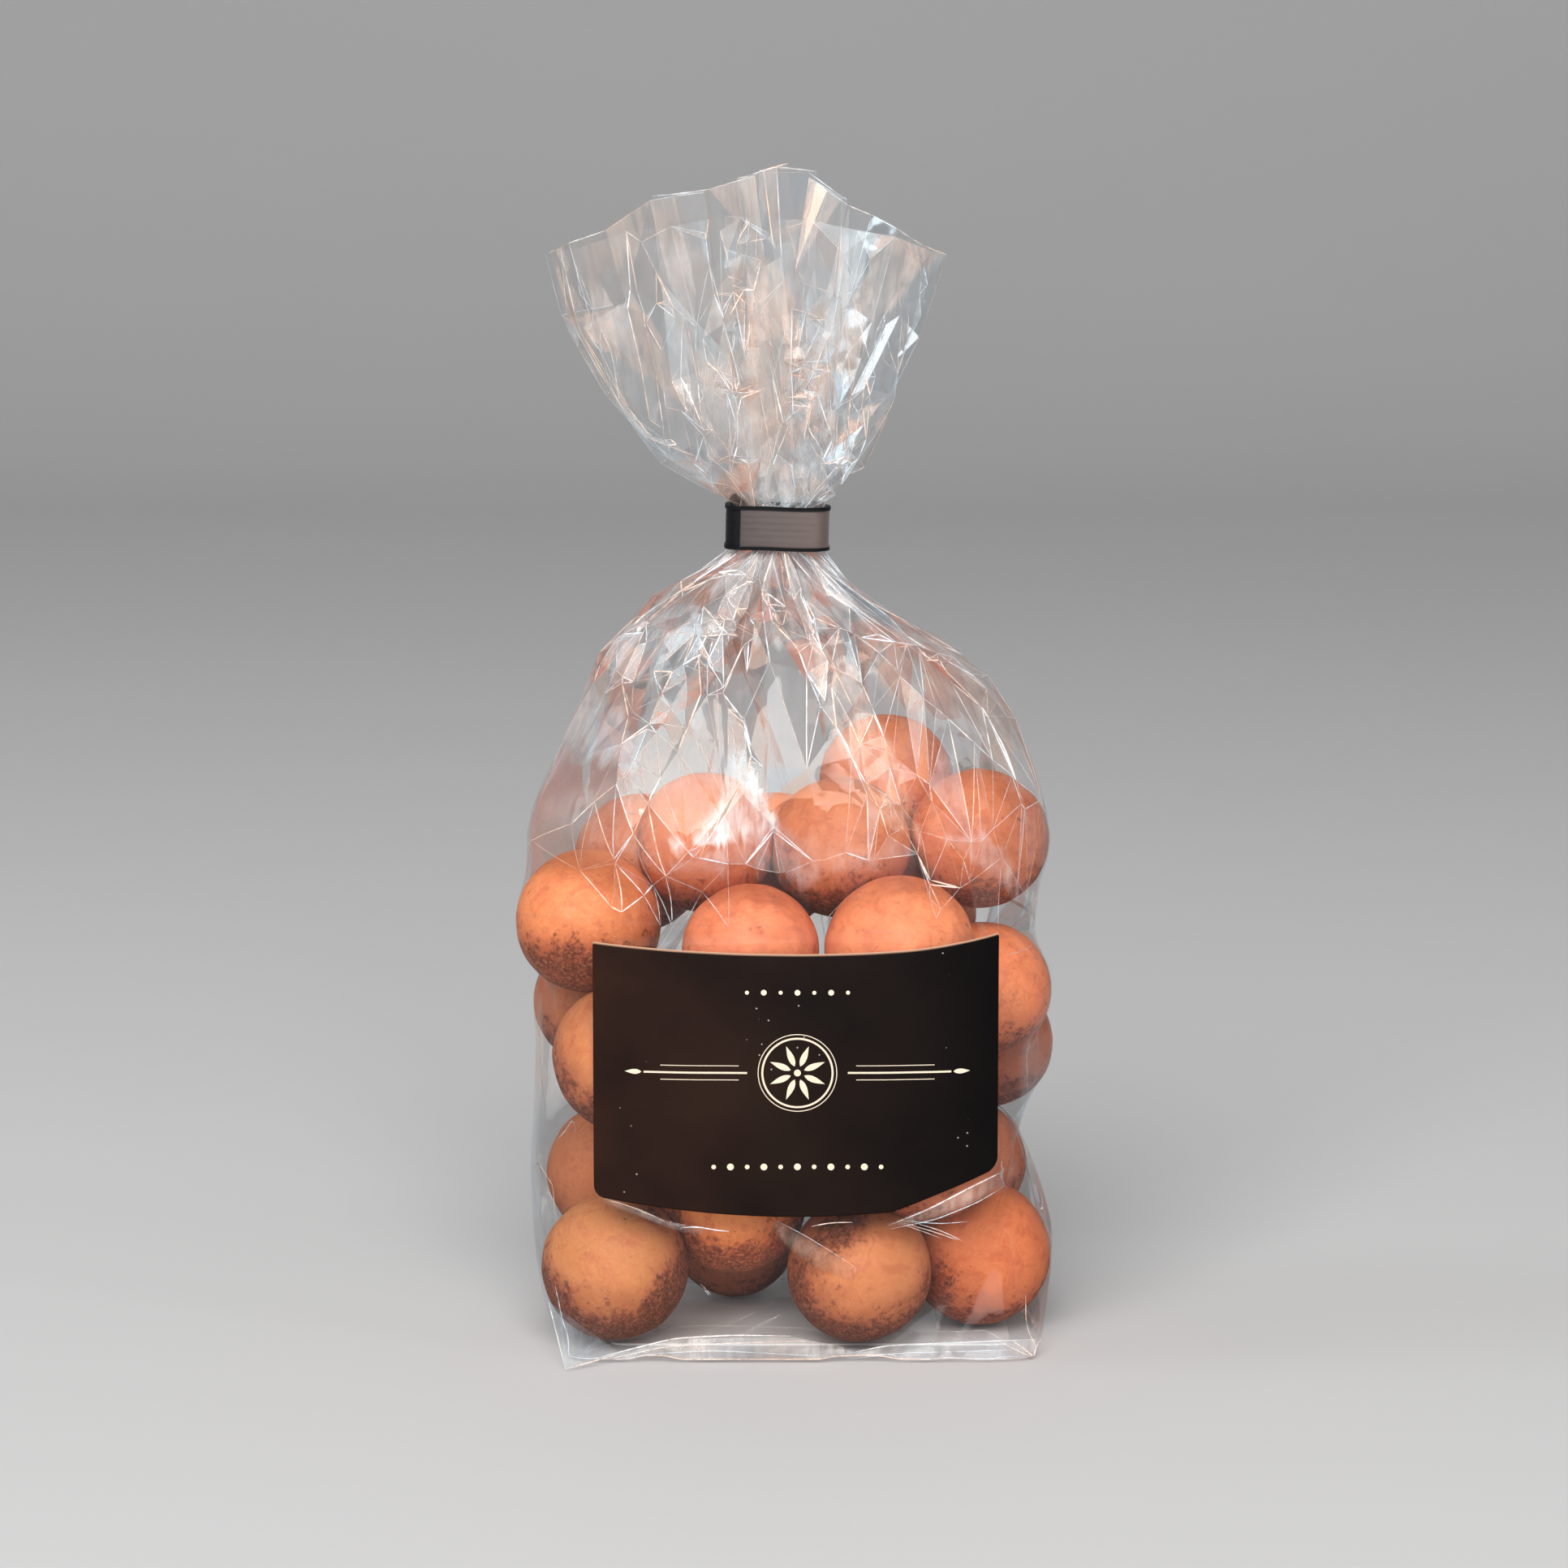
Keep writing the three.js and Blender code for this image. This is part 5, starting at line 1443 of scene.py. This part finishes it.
def make_foot():
    """the doubled film along the foot's front edge, and thin raised lines along its folds, with two short painted
    glints among them
    """
    eye = AIM + DIST * np.array([0, -math.cos(ELEV), math.sin(ELEV)])

    def on_film(px, py):
        x, z = point_at(px, py, -27)
        aim = np.array([x, -27.0, z])
        ray = (aim - eye) / np.linalg.norm(aim - eye)
        hit = SURFACE[0].ray_cast(Vector(eye), Vector(ray))[0]
        if hit is None or hit.y > -8:
            hit = SURFACE[0].find_nearest(Vector(aim))[0]
        return np.array(hit[:]) - 0.22 * ray

    def line(pts, y):
        P = np.array(pts, float)
        L = np.r_[0, np.cumsum(np.linalg.norm(np.diff(P, axis=0), axis=1))]
        q = np.linspace(0, L[-1], max(8, int(L[-1] / 4.8)))
        px, py = np.interp(q, L, P[:, 0]), np.interp(q, L, P[:, 1])
        for _ in range(6):
            py[1:-1] = (py[:-2] + 2 * py[1:-1] + py[2:]) / 4
        P = np.array([on_film(a, b) for a, b in zip(px, py)])
        for _ in range(2):
            P[1:-1] = (P[:-2] + 2 * P[1:-1] + P[2:]) / 4
        P[:, 2] = np.maximum(P[:, 2], 0.75)
        return P

    sheets = (
        (((697, 1686), (760, 1666), (830, 1650), (975, 1647), (1040, 1660)), ((699, 1690), (760, 1681), (820, 1677), (900, 1680), (1038, 1680)), 0.20),
        (((1036, 1672), (1100, 1657), (1200, 1652), (1276, 1650)), ((1036, 1681), (1100, 1680), (1200, 1681), (1280, 1681)), 0.16))
    sheets += (
        (((1092, 1508), (1142, 1489), (1192, 1462), (1236, 1441), (1270, 1432)), ((1096, 1515), (1150, 1503), (1204, 1482), (1246, 1456), (1268, 1436)), 0.20),
        (((957, 1504), (988, 1520), (1022, 1540), (1056, 1562)), ((950, 1513), (972, 1540), (1006, 1564), (1052, 1578)), 0.15),
        (((738, 1472), (780, 1486), (830, 1507), (872, 1513)), ((742, 1482), (790, 1500), (832, 1517), (866, 1522)), 0.10))
    V, F, C, T, U, first = [], [], [], [], [], 0
    for which, (top, low, haze) in enumerate(sheets):
        A, B = line(top, -30), line(low, -30)
        m = 110
        g = lambda P: np.stack([np.interp(np.linspace(0, 1, m), np.linspace(0, 1, len(P)), P[:, i]) for i in range(3)], -1)
        A, B = g(A), g(B)
        v = np.linspace(0, 1, 7)[:, None, None]
        P = B[None] + (A - B)[None] * v
        P[..., 1] -= 0.35 * np.sin(np.pi * v[..., 0]) * (0.6 + 0.4 * np.sin(np.linspace(0, 19, m)))[None]
        V.append(P.reshape(-1, 3))
        F.append(grid_faces(7, m, closed=False, first=first))
        fade = haze * (0.5 + 0.5 * np.sin(np.linspace(0, 7, m) + 1) ** 2)[None] * np.ones((7, 1))
        if which > 1:
            e = np.linspace(0, 1, m)
            fade = fade * np.clip(np.minimum(e, 1 - e) * 4, 0, 1)[None] * (np.sin(np.pi * np.linspace(0, 1, 7)) ** 0.8)[:, None]
        C.append(fade.reshape(-1))
        T.append(np.full(7 * m, 0.42 if which < 2 else 0.80))
        U.append(P[..., [0, 2]].reshape(-1, 2) * 0.001)
        first += 7 * m
    # the pointed fold at its left corner
    spot = lambda px, py, y: (lambda q: np.array([q[0], y, max(q[1], 0.55)]))(point_at(px, py, y))
    tip = spot(697, 1689, -35.0)
    edge = np.array([on_film(a, b) for a, b in zip(np.linspace(676, 765, 24), np.linspace(1604, 1668, 24))])
    up, right = edge[0], edge[-1]
    u, v = np.linspace(0, 1, 24)[None, :, None], np.linspace(0, 1, 20)[:, None, None]
    P = tip + v * (edge[None] - tip)
    V.append(P.reshape(-1, 3))
    F.append(grid_faces(20, 24, closed=False, first=first))
    C.append(np.broadcast_to(0.10 * (1 - 0.6 * v[..., 0]), (20, 24)).reshape(-1))
    T.append(np.full(480, 0.35))
    U.append(P[..., [0, 2]].reshape(-1, 2) * 0.001)
    corner = (tip, up, right)
    V = np.vstack(V)
    o = mesh_object('film_foot', to_m(off_the_balls(V, 0.12)), np.vstack(F))
    number(o, 'crease', np.concatenate(C))
    number(o, 'crinkle', np.full(len(V), 0.25))
    number(o, 'tone', np.concatenate(T))
    uv_map(o, np.vstack(U))
    o.data.materials.append(film_material('film_foot', 0.01, crease_veil=1.0, gloss_amount=0.30))
    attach(o, 'root')
    strokes = (
        (0.30, 0.9, (697, 1688), (730, 1675), (770, 1664), (830, 1649), (900, 1645), (975, 1646)),
        (0.22, 0.7, (700, 1688), (760, 1672), (820, 1659), (900, 1655), (990, 1652), (1035, 1658)),
        (0.22, 0.6, (740, 1680), (800, 1668), (880, 1664), (960, 1668), (1030, 1672)),
        (0.26, 0.8, (697, 1690), (740, 1684), (800, 1677), (860, 1679), (950, 1681), (1040, 1680), (1130, 1680), (1200, 1681), (1282, 1680)),
        (0.24, 0.8, (1035, 1670), (1090, 1658), (1160, 1655), (1230, 1652), (1276, 1650)),
        (0.18, 0.6, (1040, 1675), (1110, 1667), (1190, 1665), (1262, 1662)),
        (0.18, 0.5, (1035, 1679), (1120, 1674), (1210, 1674), (1270, 1676)),
        (0.30, 1.0, (1248, 1652), (1265, 1664), (1283, 1679)),
        (0.26, 0.9, (1283, 1650), (1284, 1664), (1283, 1679)),
        (0.20, 0.7, (1225, 1650), (1256, 1665), (1283, 1678)),
        (0.22, 0.7, (664, 1590), (676, 1630), (697, 1688)),
        (0.20, 0.6, (1296, 1575), (1292, 1620), (1284, 1678)),
        (0.16, 0.5, (863, 1582), (872, 1590), (876, 1596)),
        (0.30, 0.8, (1094, 1510), (1142, 1491), (1192, 1465), (1238, 1442), (1270, 1433)),
        (0.22, 0.6, (1098, 1514), (1152, 1503), (1206, 1481), (1248, 1455), (1268, 1436)),
        (0.20, 0.7, (1132, 1508), (1160, 1516), (1186, 1529)),
        (0.18, 0.6, (1112, 1504), (1160, 1508), (1192, 1505)),
        (0.18, 0.5, (1108, 1507), (1140, 1518), (1160, 1526)),
        (0.18, 0.5, (740, 1474), (792, 1492), (830, 1510)),
        # painted glints: two short white lines just under the label, on the tops of the balls there
        (0.26, 0.9, (838, 1513), (860, 1510), (878, 1516), (898, 1517)),
        (0.22, 0.8, (1000, 1511), (1022, 1506), (1050, 1506)),
        (0.16, 0.5, (957, 1504), (990, 1521), (1026, 1543), (1058, 1564)),
    )
    paths = []
    for w, k, *pts in strokes:
        P = line(pts, -30)
        P[:, 1] -= 0.10
        paths.append((P, np.broadcast_to(np.array([0, -1.0, 0.12]) / 1.0072, P.shape), w, k))
    for end, w, k in ((1, 0.26, 0.8), (2, 0.28, 0.9)):
        P = corner[0] + np.linspace(0, 1, 30)[:, None] * (corner[end] - corner[0])
        paths.append((P + np.array([-0.02, -0.05, 0.05]), np.broadcast_to(np.array([-0.35, -0.85, 0.39]), P.shape), w, k))
    o2 = ribbons(paths, 'film_foot_lines', 0.06, 0.02)
    return o, o2


# =============================================================================================
# the flat band clip round the neck
def make_clip():
    W, D_, R_, H = 18.8 / 2, 9.4 / 2, 3.3, 8.0 / 2
    path = []

    def arc(cx, cy, a0, a1, m):
        for a in np.linspace(a0, a1, m, endpoint=False):
            path.append((cx + R_ * math.cos(a), cy + R_ * math.sin(a)))

    def line(x0, y0, x1, y1, m):
        for t in np.linspace(0, 1, m, endpoint=False):
            path.append((x0 + (x1 - x0) * t, y0 + (y1 - y0) * t))

    line(-W + R_, -D_, W - R_, -D_, 40)
    arc(W - R_, -D_ + R_, -math.pi / 2, 0, 22)
    line(W, -D_ + R_, W, D_ - R_, 12)
    arc(W - R_, D_ - R_, 0, math.pi / 2, 22)
    line(W - R_, D_, -W + R_, D_, 40)
    arc(-W + R_, D_ - R_, math.pi / 2, math.pi, 22)
    line(-W, D_ - R_, -W, -D_ + R_, 12)
    arc(-W + R_, -D_ + R_, math.pi, 1.5 * math.pi, 22)
    path = np.array(path)
    t = np.roll(path, -1, 0) - np.roll(path, 1, 0)
    t /= np.linalg.norm(t, axis=1, keepdims=True)
    out = np.c_[t[:, 1], -t[:, 0]]
    T, rim = 0.86, 0.22
    prof = [(-T, -H + 0.2), (-T + 0.1, -H + 0.04), (-0.1, -H), (0.12, -H + 0.03), (rim, -H + 0.14), (rim + 0.03, -H + 0.34),
            (rim, -H + 0.58), (0.10, -H + 0.74), (0.0, -H + 0.84)]
    mid = [(0.0 + 0.02 * math.sin(k * 1.3), -H + 0.84 + (2 * H - 1.68) * k / 26) for k in range(1, 26)]
    prof = prof + mid + [(x, -z) for x, z in reversed(prof)]
    inner = [(-T, H - 0.2 - (2 * H - 0.4) * k / 6) for k in range(1, 6)]
    prof = np.array(prof + inner)
    n, m = len(path), len(prof)
    L = np.r_[0, np.cumsum(np.linalg.norm(np.roll(path, -1, 0) - path, axis=1))][:-1]
    # faint dents and a bow along the band, so that its sheen isn't even
    dent = 0.05 * np.sin(L * 0.9 + 1.0)[:, None] * np.cos(prof[None, :, 1] * 0.35)
    P = np.zeros((n, m, 3))
    P[..., 0] = path[:, None, 0] + out[:, None, 0] * (prof[None, :, 0] + dent)
    P[..., 1] = path[:, None, 1] + out[:, None, 1] * (prof[None, :, 0] + dent)
    P[..., 2] = prof[None, :, 1] + 0.05 * np.sin(L * 0.5)[:, None]
    a = math.radians(1.4)
    x, z = P[..., 0].copy(), P[..., 2].copy()
    P[..., 0] = x * math.cos(a) + z * math.sin(a) - 1.2
    P[..., 2] = -x * math.sin(a) + z * math.cos(a) + 149.1
    i, k = np.meshgrid(np.arange(n), np.arange(m), indexing='ij')
    p, q = i * m + k, i * m + (k + 1) % m
    s_, u_ = ((i + 1) % n) * m + k, ((i + 1) % n) * m + (k + 1) % m
    o = mesh_object('band_clip', to_m(P.reshape(-1, 3)), np.stack([p, s_, u_, q], -1).reshape(-1, 4))
    pr = np.r_[0, np.cumsum(np.linalg.norm(np.diff(prof, axis=0), axis=1))]
    uv = np.stack(np.broadcast_arrays(L[:, None], pr[None, :]), -1).reshape(-1, 2)
    uv_map(o, uv * 0.001)
    edge = np.clip((np.abs(prof[:, 1]) - (H - 0.78)) / 0.12, 0, 1)
    number(o, 'edge', np.broadcast_to(edge[None, :], (n, m)))
    mt = Nodes('satin_band')
    uvn = mt.add('UVMap').outputs[0]
    stretch = mt.add('Mapping', Vector=uvn, Scale=(260.0, 5200.0, 1.0)).outputs[0]
    thread = mt.add('TexNoise', Vector=stretch, Scale=1.0, Detail=3.0, Roughness=0.6).outputs['Fac']
    weave = mt.add('TexWave', _wave_type='BANDS', _bands_direction='Y', Vector=uvn, Scale=4200.0, Distortion=1.2, Detail=2.0).outputs['Fac']
    warp = mt.add('TexWave', _wave_type='BANDS', _bands_direction='X', Vector=uvn, Scale=2600.0, Distortion=0.8, Detail=1.0).outputs['Fac']
    edge_n = mt.attr('edge')
    h = mt.math('ADD', mt.math('MULTIPLY', thread, 0.7), mt.math('ADD', mt.math('MULTIPLY', weave, 0.5), mt.math('MULTIPLY', warp, 0.2)))
    bump = mt.add('Bump', Strength=0.5, Distance=0.00012, Height=h).outputs[0]
    base = mt.mix(thread, (0.060, 0.041, 0.037), (0.116, 0.084, 0.077))
    # painted sheen: the band's colour is darker to the left and lighter to the right
    base = mt.mix(1.0, base, mt.ramp(mt.attr('along'), [(0.0, (0.50, 0.50, 0.53)), (0.25, (0.78, 0.78, 0.80)), (0.8, (1.12, 1.10, 1.08)), (1.0, (1.25, 1.2, 1.18))]), 'MULTIPLY')
    rough = mt.ramp(thread, [(0.3, (0.34, 0.34, 0.34)), (0.7, (0.5, 0.5, 0.5))])
    pb = mt.add('BsdfPrincipled', Base_Color=base, Roughness=rough, Normal=bump)
    pb.inputs['Specular IOR Level'].default_value = 0.75
    pb.inputs['Sheen Weight'].default_value = 0.25
    pb.inputs['Sheen Roughness'].default_value = 0.35
    pb.inputs['Sheen Tint'].default_value = (0.9, 0.75, 0.7, 1)
    pd = mt.add('BsdfPrincipled', Base_Color=(0.0025, 0.003, 0.005, 1), Roughness=0.45, Normal=bump)
    pd.inputs['Specular IOR Level'].default_value = 0.15
    # near-black on the top and bottom rims, and painted shade where the band turns back at its left end
    o.data.materials.append(mt.surface(mt.add('MixShader', Fac=mt.math('MAXIMUM', mt.attr('turned'), edge_n), i1=pb.outputs[0], i2=pd.outputs[0]).outputs[0]))
    turned = np.clip((-6.55 - path[:, 0]) / 0.25, 0, 1) * (path[:, 1] < 2)
    number(o, 'along', np.broadcast_to(((path[:, 0] + 6.6) / 15.5)[:, None], (n, m)))
    number(o, 'turned', np.broadcast_to(turned[:, None], (n, m)))
    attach(o, 'root')
    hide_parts('clip')
    return o


# =============================================================================================
# the front label
def label_edge(x):
    X0, X1 = -34.2, 38.4
    t = (x - X0) / (X1 - X0)
    bow = np.sin(np.pi * t)
    cut = np.maximum(0, (x - 19.5) / (38.4 - 19.5))
    edge = np.minimum(x - X0, X1 - x)

    def corner(d, r):
        q = np.clip(r - d, 0, r)
        return r - np.sqrt(np.maximum(r * r - q * q, 0))

    top = 77.8 + 1.5 * cut ** 2 - 1.7 * bow - corner(edge, 0.35)
    low = 31.4 - 3.4 * bow + 8.6 * cut * 0.6 + corner(edge, 2.0)
    return low, top


def label_face(x, z, out=0.0):
    """the label's outer face: it follows the film, with shallow waves, its upper right corner lifts"""
    wave = 0.10 * np.sin(x * 0.17 + 0.8) * np.sin(z * 0.11 + 0.5) + 0.05 * np.sin(x * 0.55 + z * 0.08)
    lift = 0.9 * np.clip((x - 26) / 12.4, 0, 1) ** 2 * np.clip((z - 60) / 18, 0, 1) ** 2
    return front(x, z) - 0.62 - 0.10 - wave * 0.8 - lift - out


def make_label():
    nu, nv = 180, 110
    u = np.linspace(0, 1, nu)
    x = -34.2 + 72.6 * (u - 0.14 * np.sin(2 * np.pi * u))
    low, top = label_edge(x)
    v = np.linspace(0, 1, nv)[:, None]
    z = low[None, :] + (top - low)[None, :] * v
    xx = np.broadcast_to(x[None, :], z.shape)
    F = np.stack([xx, label_face(xx, z), z], -1)
    B = F.copy()
    B[..., 1] += 0.22
    V = np.vstack([F.reshape(-1, 3), B.reshape(-1, 3)])
    n = nu * nv
    idx = np.arange(n).reshape(nv, nu)
    a, b, c, d = idx[:-1, :-1], idx[:-1, 1:], idx[1:, 1:], idx[1:, :-1]
    face = np.stack([a, b, c, d], -1).reshape(-1, 4)
    back = np.stack([a, d, c, b], -1).reshape(-1, 4) + n
    loop = np.r_[idx[0, :-1], idx[:-1, -1], idx[-1, :0:-1], idx[:0:-1, 0]]
    nxt = np.roll(loop, -1)
    side = np.stack([nxt, loop, loop + n, nxt + n], -1)
    o = mesh_object('label_front', to_m(V), np.vstack([face, back, side]))
    rim = np.zeros((2, nv, nu))
    rim[0, -1] = 1.0
    number(o, 'rim', rim)
    o.data.materials.append(label_paper())
    cut = Nodes('label_cut_edge')
    nz = cut.add('TexNoise', Vector=cut.add('TexCoord').outputs['Object'], Scale=900.0, Detail=2.0).outputs['Fac']
    cut.surface(cut.add('BsdfPrincipled', Base_Color=cut.mix(nz, (0.55, 0.33, 0.24), (0.86, 0.66, 0.55)), Roughness=0.7).outputs[0])
    o.data.materials.append(cut.m)
    mi = np.zeros(len(o.data.polygons), np.int32)
    mi[len(face) + len(back):] = 1
    o.data.polygons.foreach_set('material_index', mi)
    sharp = np.ones(len(o.data.polygons), bool)
    sharp[len(face) + len(back):] = False
    o.data.polygons.foreach_set('use_smooth', sharp)
    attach(o, 'root')
    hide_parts('front_label')
    return o


def label_paper():
    n = Nodes('dark_label_paper')
    pos = n.add('TexCoord').outputs['Object']
    cloud = n.add('TexNoise', Vector=pos, Scale=38.0, Detail=3.0, Roughness=0.5).outputs['Fac']
    grain = n.add('TexNoise', Vector=pos, Scale=2600.0, Detail=2.0, Roughness=0.7).outputs['Fac']
    dots = n.add('TexVoronoi', Vector=pos, Scale=520.0, Randomness=1.0).outputs['Distance']
    pick = n.ramp(n.add('TexVoronoi', Vector=pos, Scale=520.0, Randomness=1.0).outputs['Color'], [(0.66, (0, 0, 0)), (0.69, (1, 1, 1))])
    speck = n.math('MULTIPLY', n.ramp(dots, [(0.055, (1, 1, 1)), (0.10, (0, 0, 0))]), pick)
    base = n.mix(n.ramp(cloud, [(0.35, (0, 0, 0)), (0.7, (1, 1, 1))]), (0.0060, 0.0038, 0.0034), (0.0165, 0.0085, 0.0060))
    # painted sheen: the paper is browner on the left and near-black with a cool cast on the right
    x = n.add('SeparateXYZ', Vector=pos).outputs[0]
    side = n.ramp(n.math('ADD', n.math('MULTIPLY', x, 9.0), n.math('ADD', 0.42, n.math('MULTIPLY', cloud, 0.25))), [(0.15, (2.6, 1.9, 1.6)), (0.55, (1.1, 1.1, 1.1)), (0.90, (0.22, 0.30, 0.45))])
    base = n.mix(1.0, base, side, 'MULTIPLY')
    base = n.mix(n.math('MULTIPLY', speck, 0.75), base, (0.50, 0.44, 0.38))
    base = n.mix(n.attr('rim'), base, (0.58, 0.34, 0.22))
    scratch = n.add('TexNoise', Vector=n.add('Mapping', Vector=pos, Rotation=(0, 0.5, 0), Scale=(90.0, 90.0, 2400.0)).outputs[0], Scale=1.0, Detail=1.0).outputs['Fac']
    rough = n.ramp(cloud, [(0.3, (0.30, 0.30, 0.30)), (0.7, (0.42, 0.42, 0.42))])
    rough = n.math('ADD', rough, n.math('MULTIPLY', n.ramp(scratch, [(0.66, (0, 0, 0)), (0.72, (1, 1, 1))]), 0.12))
    bump = n.add('Bump', Strength=0.35, Distance=0.00006, Height=n.math('ADD', grain, n.math('MULTIPLY', speck, 2.0))).outputs[0]
    p = n.add('BsdfPrincipled', Base_Color=base, Roughness=rough, Normal=bump)
    p.inputs['Specular IOR Level'].default_value = 0.07
    return n.surface(p.outputs[0])


def make_print():
    """a plain ornament in cream ink: a ring of almond petals between two rules, and a row of dots"""
    V, F = [], []

    def strip(a, b):
        """a band between two lines of points in the label's plane"""
        a, b = np.array(a, float), np.array(b, float)
        k = sum(len(v) for v in V)
        V.append(np.vstack([a, b]))
        m = len(a)
        for i in range(m - 1):
            F.append([k + i, k + i + 1, k + m + i + 1, k + m + i])

    cx, cz = 2.4, 54.6

    def ring_at(x0, z0, r0, r1, m=72):
        t = np.linspace(0, 2 * np.pi, m + 1)
        strip(np.c_[x0 + r0 * np.cos(t), z0 + r0 * np.sin(t)], np.c_[x0 + r1 * np.cos(t), z0 + r1 * np.sin(t)])

    def petal(x0, z0, ang, r0, r1, w, m=14):
        t = np.linspace(0, 1, m)
        r = r0 + (r1 - r0) * t
        half = w * np.sin(np.pi * t ** 0.8) * (1 - 0.25 * t)
        c, s_ = math.cos(ang), math.sin(ang)
        strip(np.c_[x0 + r * c - half * s_, z0 + r * s_ + half * c], np.c_[x0 + r * c + half * s_, z0 + r * s_ - half * c])

    ring_at(cx, cz, 6.1, 6.45)
    ring_at(cx, cz, 6.95, 7.1)
    for k in range(8):
        petal(cx, cz, k * math.pi / 4 + math.pi / 8, 1.3, 5.3, 0.62)
    ring_at(cx, cz, 0.01, 0.62, 24)
    for sgn in (-1, 1):
        xs = cx + sgn * np.linspace(9.0, 27.5, 30)
        strip(np.c_[xs, np.full(30, cz + 0.17)], np.c_[xs, np.full(30, cz - 0.17)])
        xs = cx + sgn * np.linspace(10.5, 24.5, 26)
        strip(np.c_[xs, np.full(26, cz + 1.35)], np.c_[xs, np.full(26, cz + 1.22)])
        strip(np.c_[xs, np.full(26, cz - 1.22)], np.c_[xs, np.full(26, cz - 1.35)])
        petal(cx + sgn * 27.9, cz, 0 if sgn > 0 else math.pi, 0, 3.0, 0.5)
    for k in range(-5, 6):
        ring_at(cx + k * 3.0, 37.3, 0.01, 0.42 if k % 2 else 0.62, 18)
    for k in range(-3, 4):
        ring_at(cx + k * 3.0, 69.2, 0.01, 0.36 if k % 2 else 0.52, 18)
    V = np.vstack(V)
    P = np.c_[V[:, 0], label_face(V[:, 0], V[:, 1], 0.025), V[:, 1]]
    o = mesh_object('label_print', to_m(P), np.array(F))
    n = Nodes('cream_ink')
    pos = n.add('TexCoord').outputs['Object']
    nz = n.add('TexNoise', Vector=pos, Scale=1800.0, Detail=2.0).outputs['Fac']
    p = n.add('BsdfPrincipled', Base_Color=n.mix(nz, (0.72, 0.58, 0.42), (0.88, 0.77, 0.62)), Roughness=0.5)
    o.data.materials.append(n.surface(p.outputs[0]))
    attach(o, 'root')
    return o


def base_label_look():
    n = Nodes('white_label_paper')
    pos = n.add('TexCoord').outputs['Object']
    nz = n.add('TexNoise', Vector=pos, Scale=60.0, Detail=4.0).outputs['Fac']
    gr = n.add('TexNoise', Vector=pos, Scale=2500.0, Detail=2.0).outputs['Fac']
    bump = n.add('Bump', Strength=0.2, Distance=0.00005, Height=gr).outputs[0]
    p = n.add('BsdfPrincipled', Base_Color=n.mix(nz, (0.80, 0.77, 0.74), (0.90, 0.88, 0.86)), Roughness=0.55, Normal=bump)
    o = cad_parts['base_label']
    o.data.materials.clear()
    o.data.materials.append(n.surface(p.outputs[0]))


# =============================================================================================
# stage and light
def make_stage():
    prof = [(-2.6, 0.0)] + [(y, 0.0) for y in np.linspace(-2.4, 1.5, 14)]
    prof += [(1.5 + 0.9 * math.sin(a), 0.9 - 0.9 * math.cos(a)) for a in np.linspace(0.08, math.pi / 2, 20)]
    prof += [(2.4, z) for z in np.linspace(1.0, 3.2, 8)]
    xs = np.linspace(-3.2, 3.2, 9)
    V = np.array([[x, y, z] for y, z in prof for x in xs])
    o = mesh_object('floor', V, grid_faces(len(prof), len(xs), closed=False))
    n = Nodes('pale_floor')
    nz = n.add('TexNoise', Vector=n.add('TexCoord').outputs['Object'], Scale=3.0, Detail=3.0).outputs['Fac']
    p = n.add('BsdfPrincipled', Base_Color=n.mix(nz, (0.60, 0.60, 0.605), (0.63, 0.63, 0.635)), Roughness=0.75)
    o.data.materials.append(n.surface(p.outputs[0]))

    def area(name, loc, size, size_y, power, target=(0, 0, 0.1), colour=(1, 1, 1)):
        l = bpy.data.lights.new(name, 'AREA')
        l.shape = 'RECTANGLE'
        l.size, l.size_y, l.energy = size, size_y, power
        l.color = colour
        q = bpy.data.objects.new(name, l)
        q.location = loc
        q.rotation_euler = (Vector(loc) - Vector(target)).to_track_quat('Z', 'Y').to_euler()
        bpy.context.scene.collection.objects.link(q)

    area('key', (-0.22, -1.70, 1.45), 1.90, 1.40, 64, colour=(1.0, 0.985, 0.96))
    area('glint_left', (-0.95, -1.60, 0.95), 0.085, 0.06, 0.50, colour=(1.0, 0.98, 0.95))
    area('glint_right', (0.90, -1.45, 1.10), 0.06, 0.085, 0.42, colour=(1.0, 0.97, 0.94))
    area('strip', (1.25, -0.65, 0.80), 0.16, 1.0, 1.3, colour=(0.96, 0.98, 1.0))
    area('low', (0.15, -1.45, 0.35), 2.00, 0.50, 2.6, target=(0, 0, 0.03), colour=(1.0, 0.98, 0.96))
    area('window', (-1.25, -0.10, 0.95), 0.40, 0.85, 3, colour=(0.90, 0.96, 1.0))
    w = bpy.data.worlds.new('world')
    bpy.context.scene.world = w
    w.use_nodes = True
    w.node_tree.nodes['Background'].inputs[0].default_value = (0.17, 0.173, 0.18, 1)
    w.node_tree.nodes['Background'].inputs[1].default_value = 1.0


make_stage()
make_balls()
Y, s_rows, film_lines = make_film()
make_seam(Y, s_rows)
make_creases(Y, s_rows, film_lines)
make_bottom(Y)
make_foot()
make_clip()
make_label()
make_print()
base_label_look()

sc = bpy.context.scene
sc.view_settings.view_transform = 'Standard'
sc.view_settings.look = 'None'
sc.cycles.transparent_max_bounces = 40
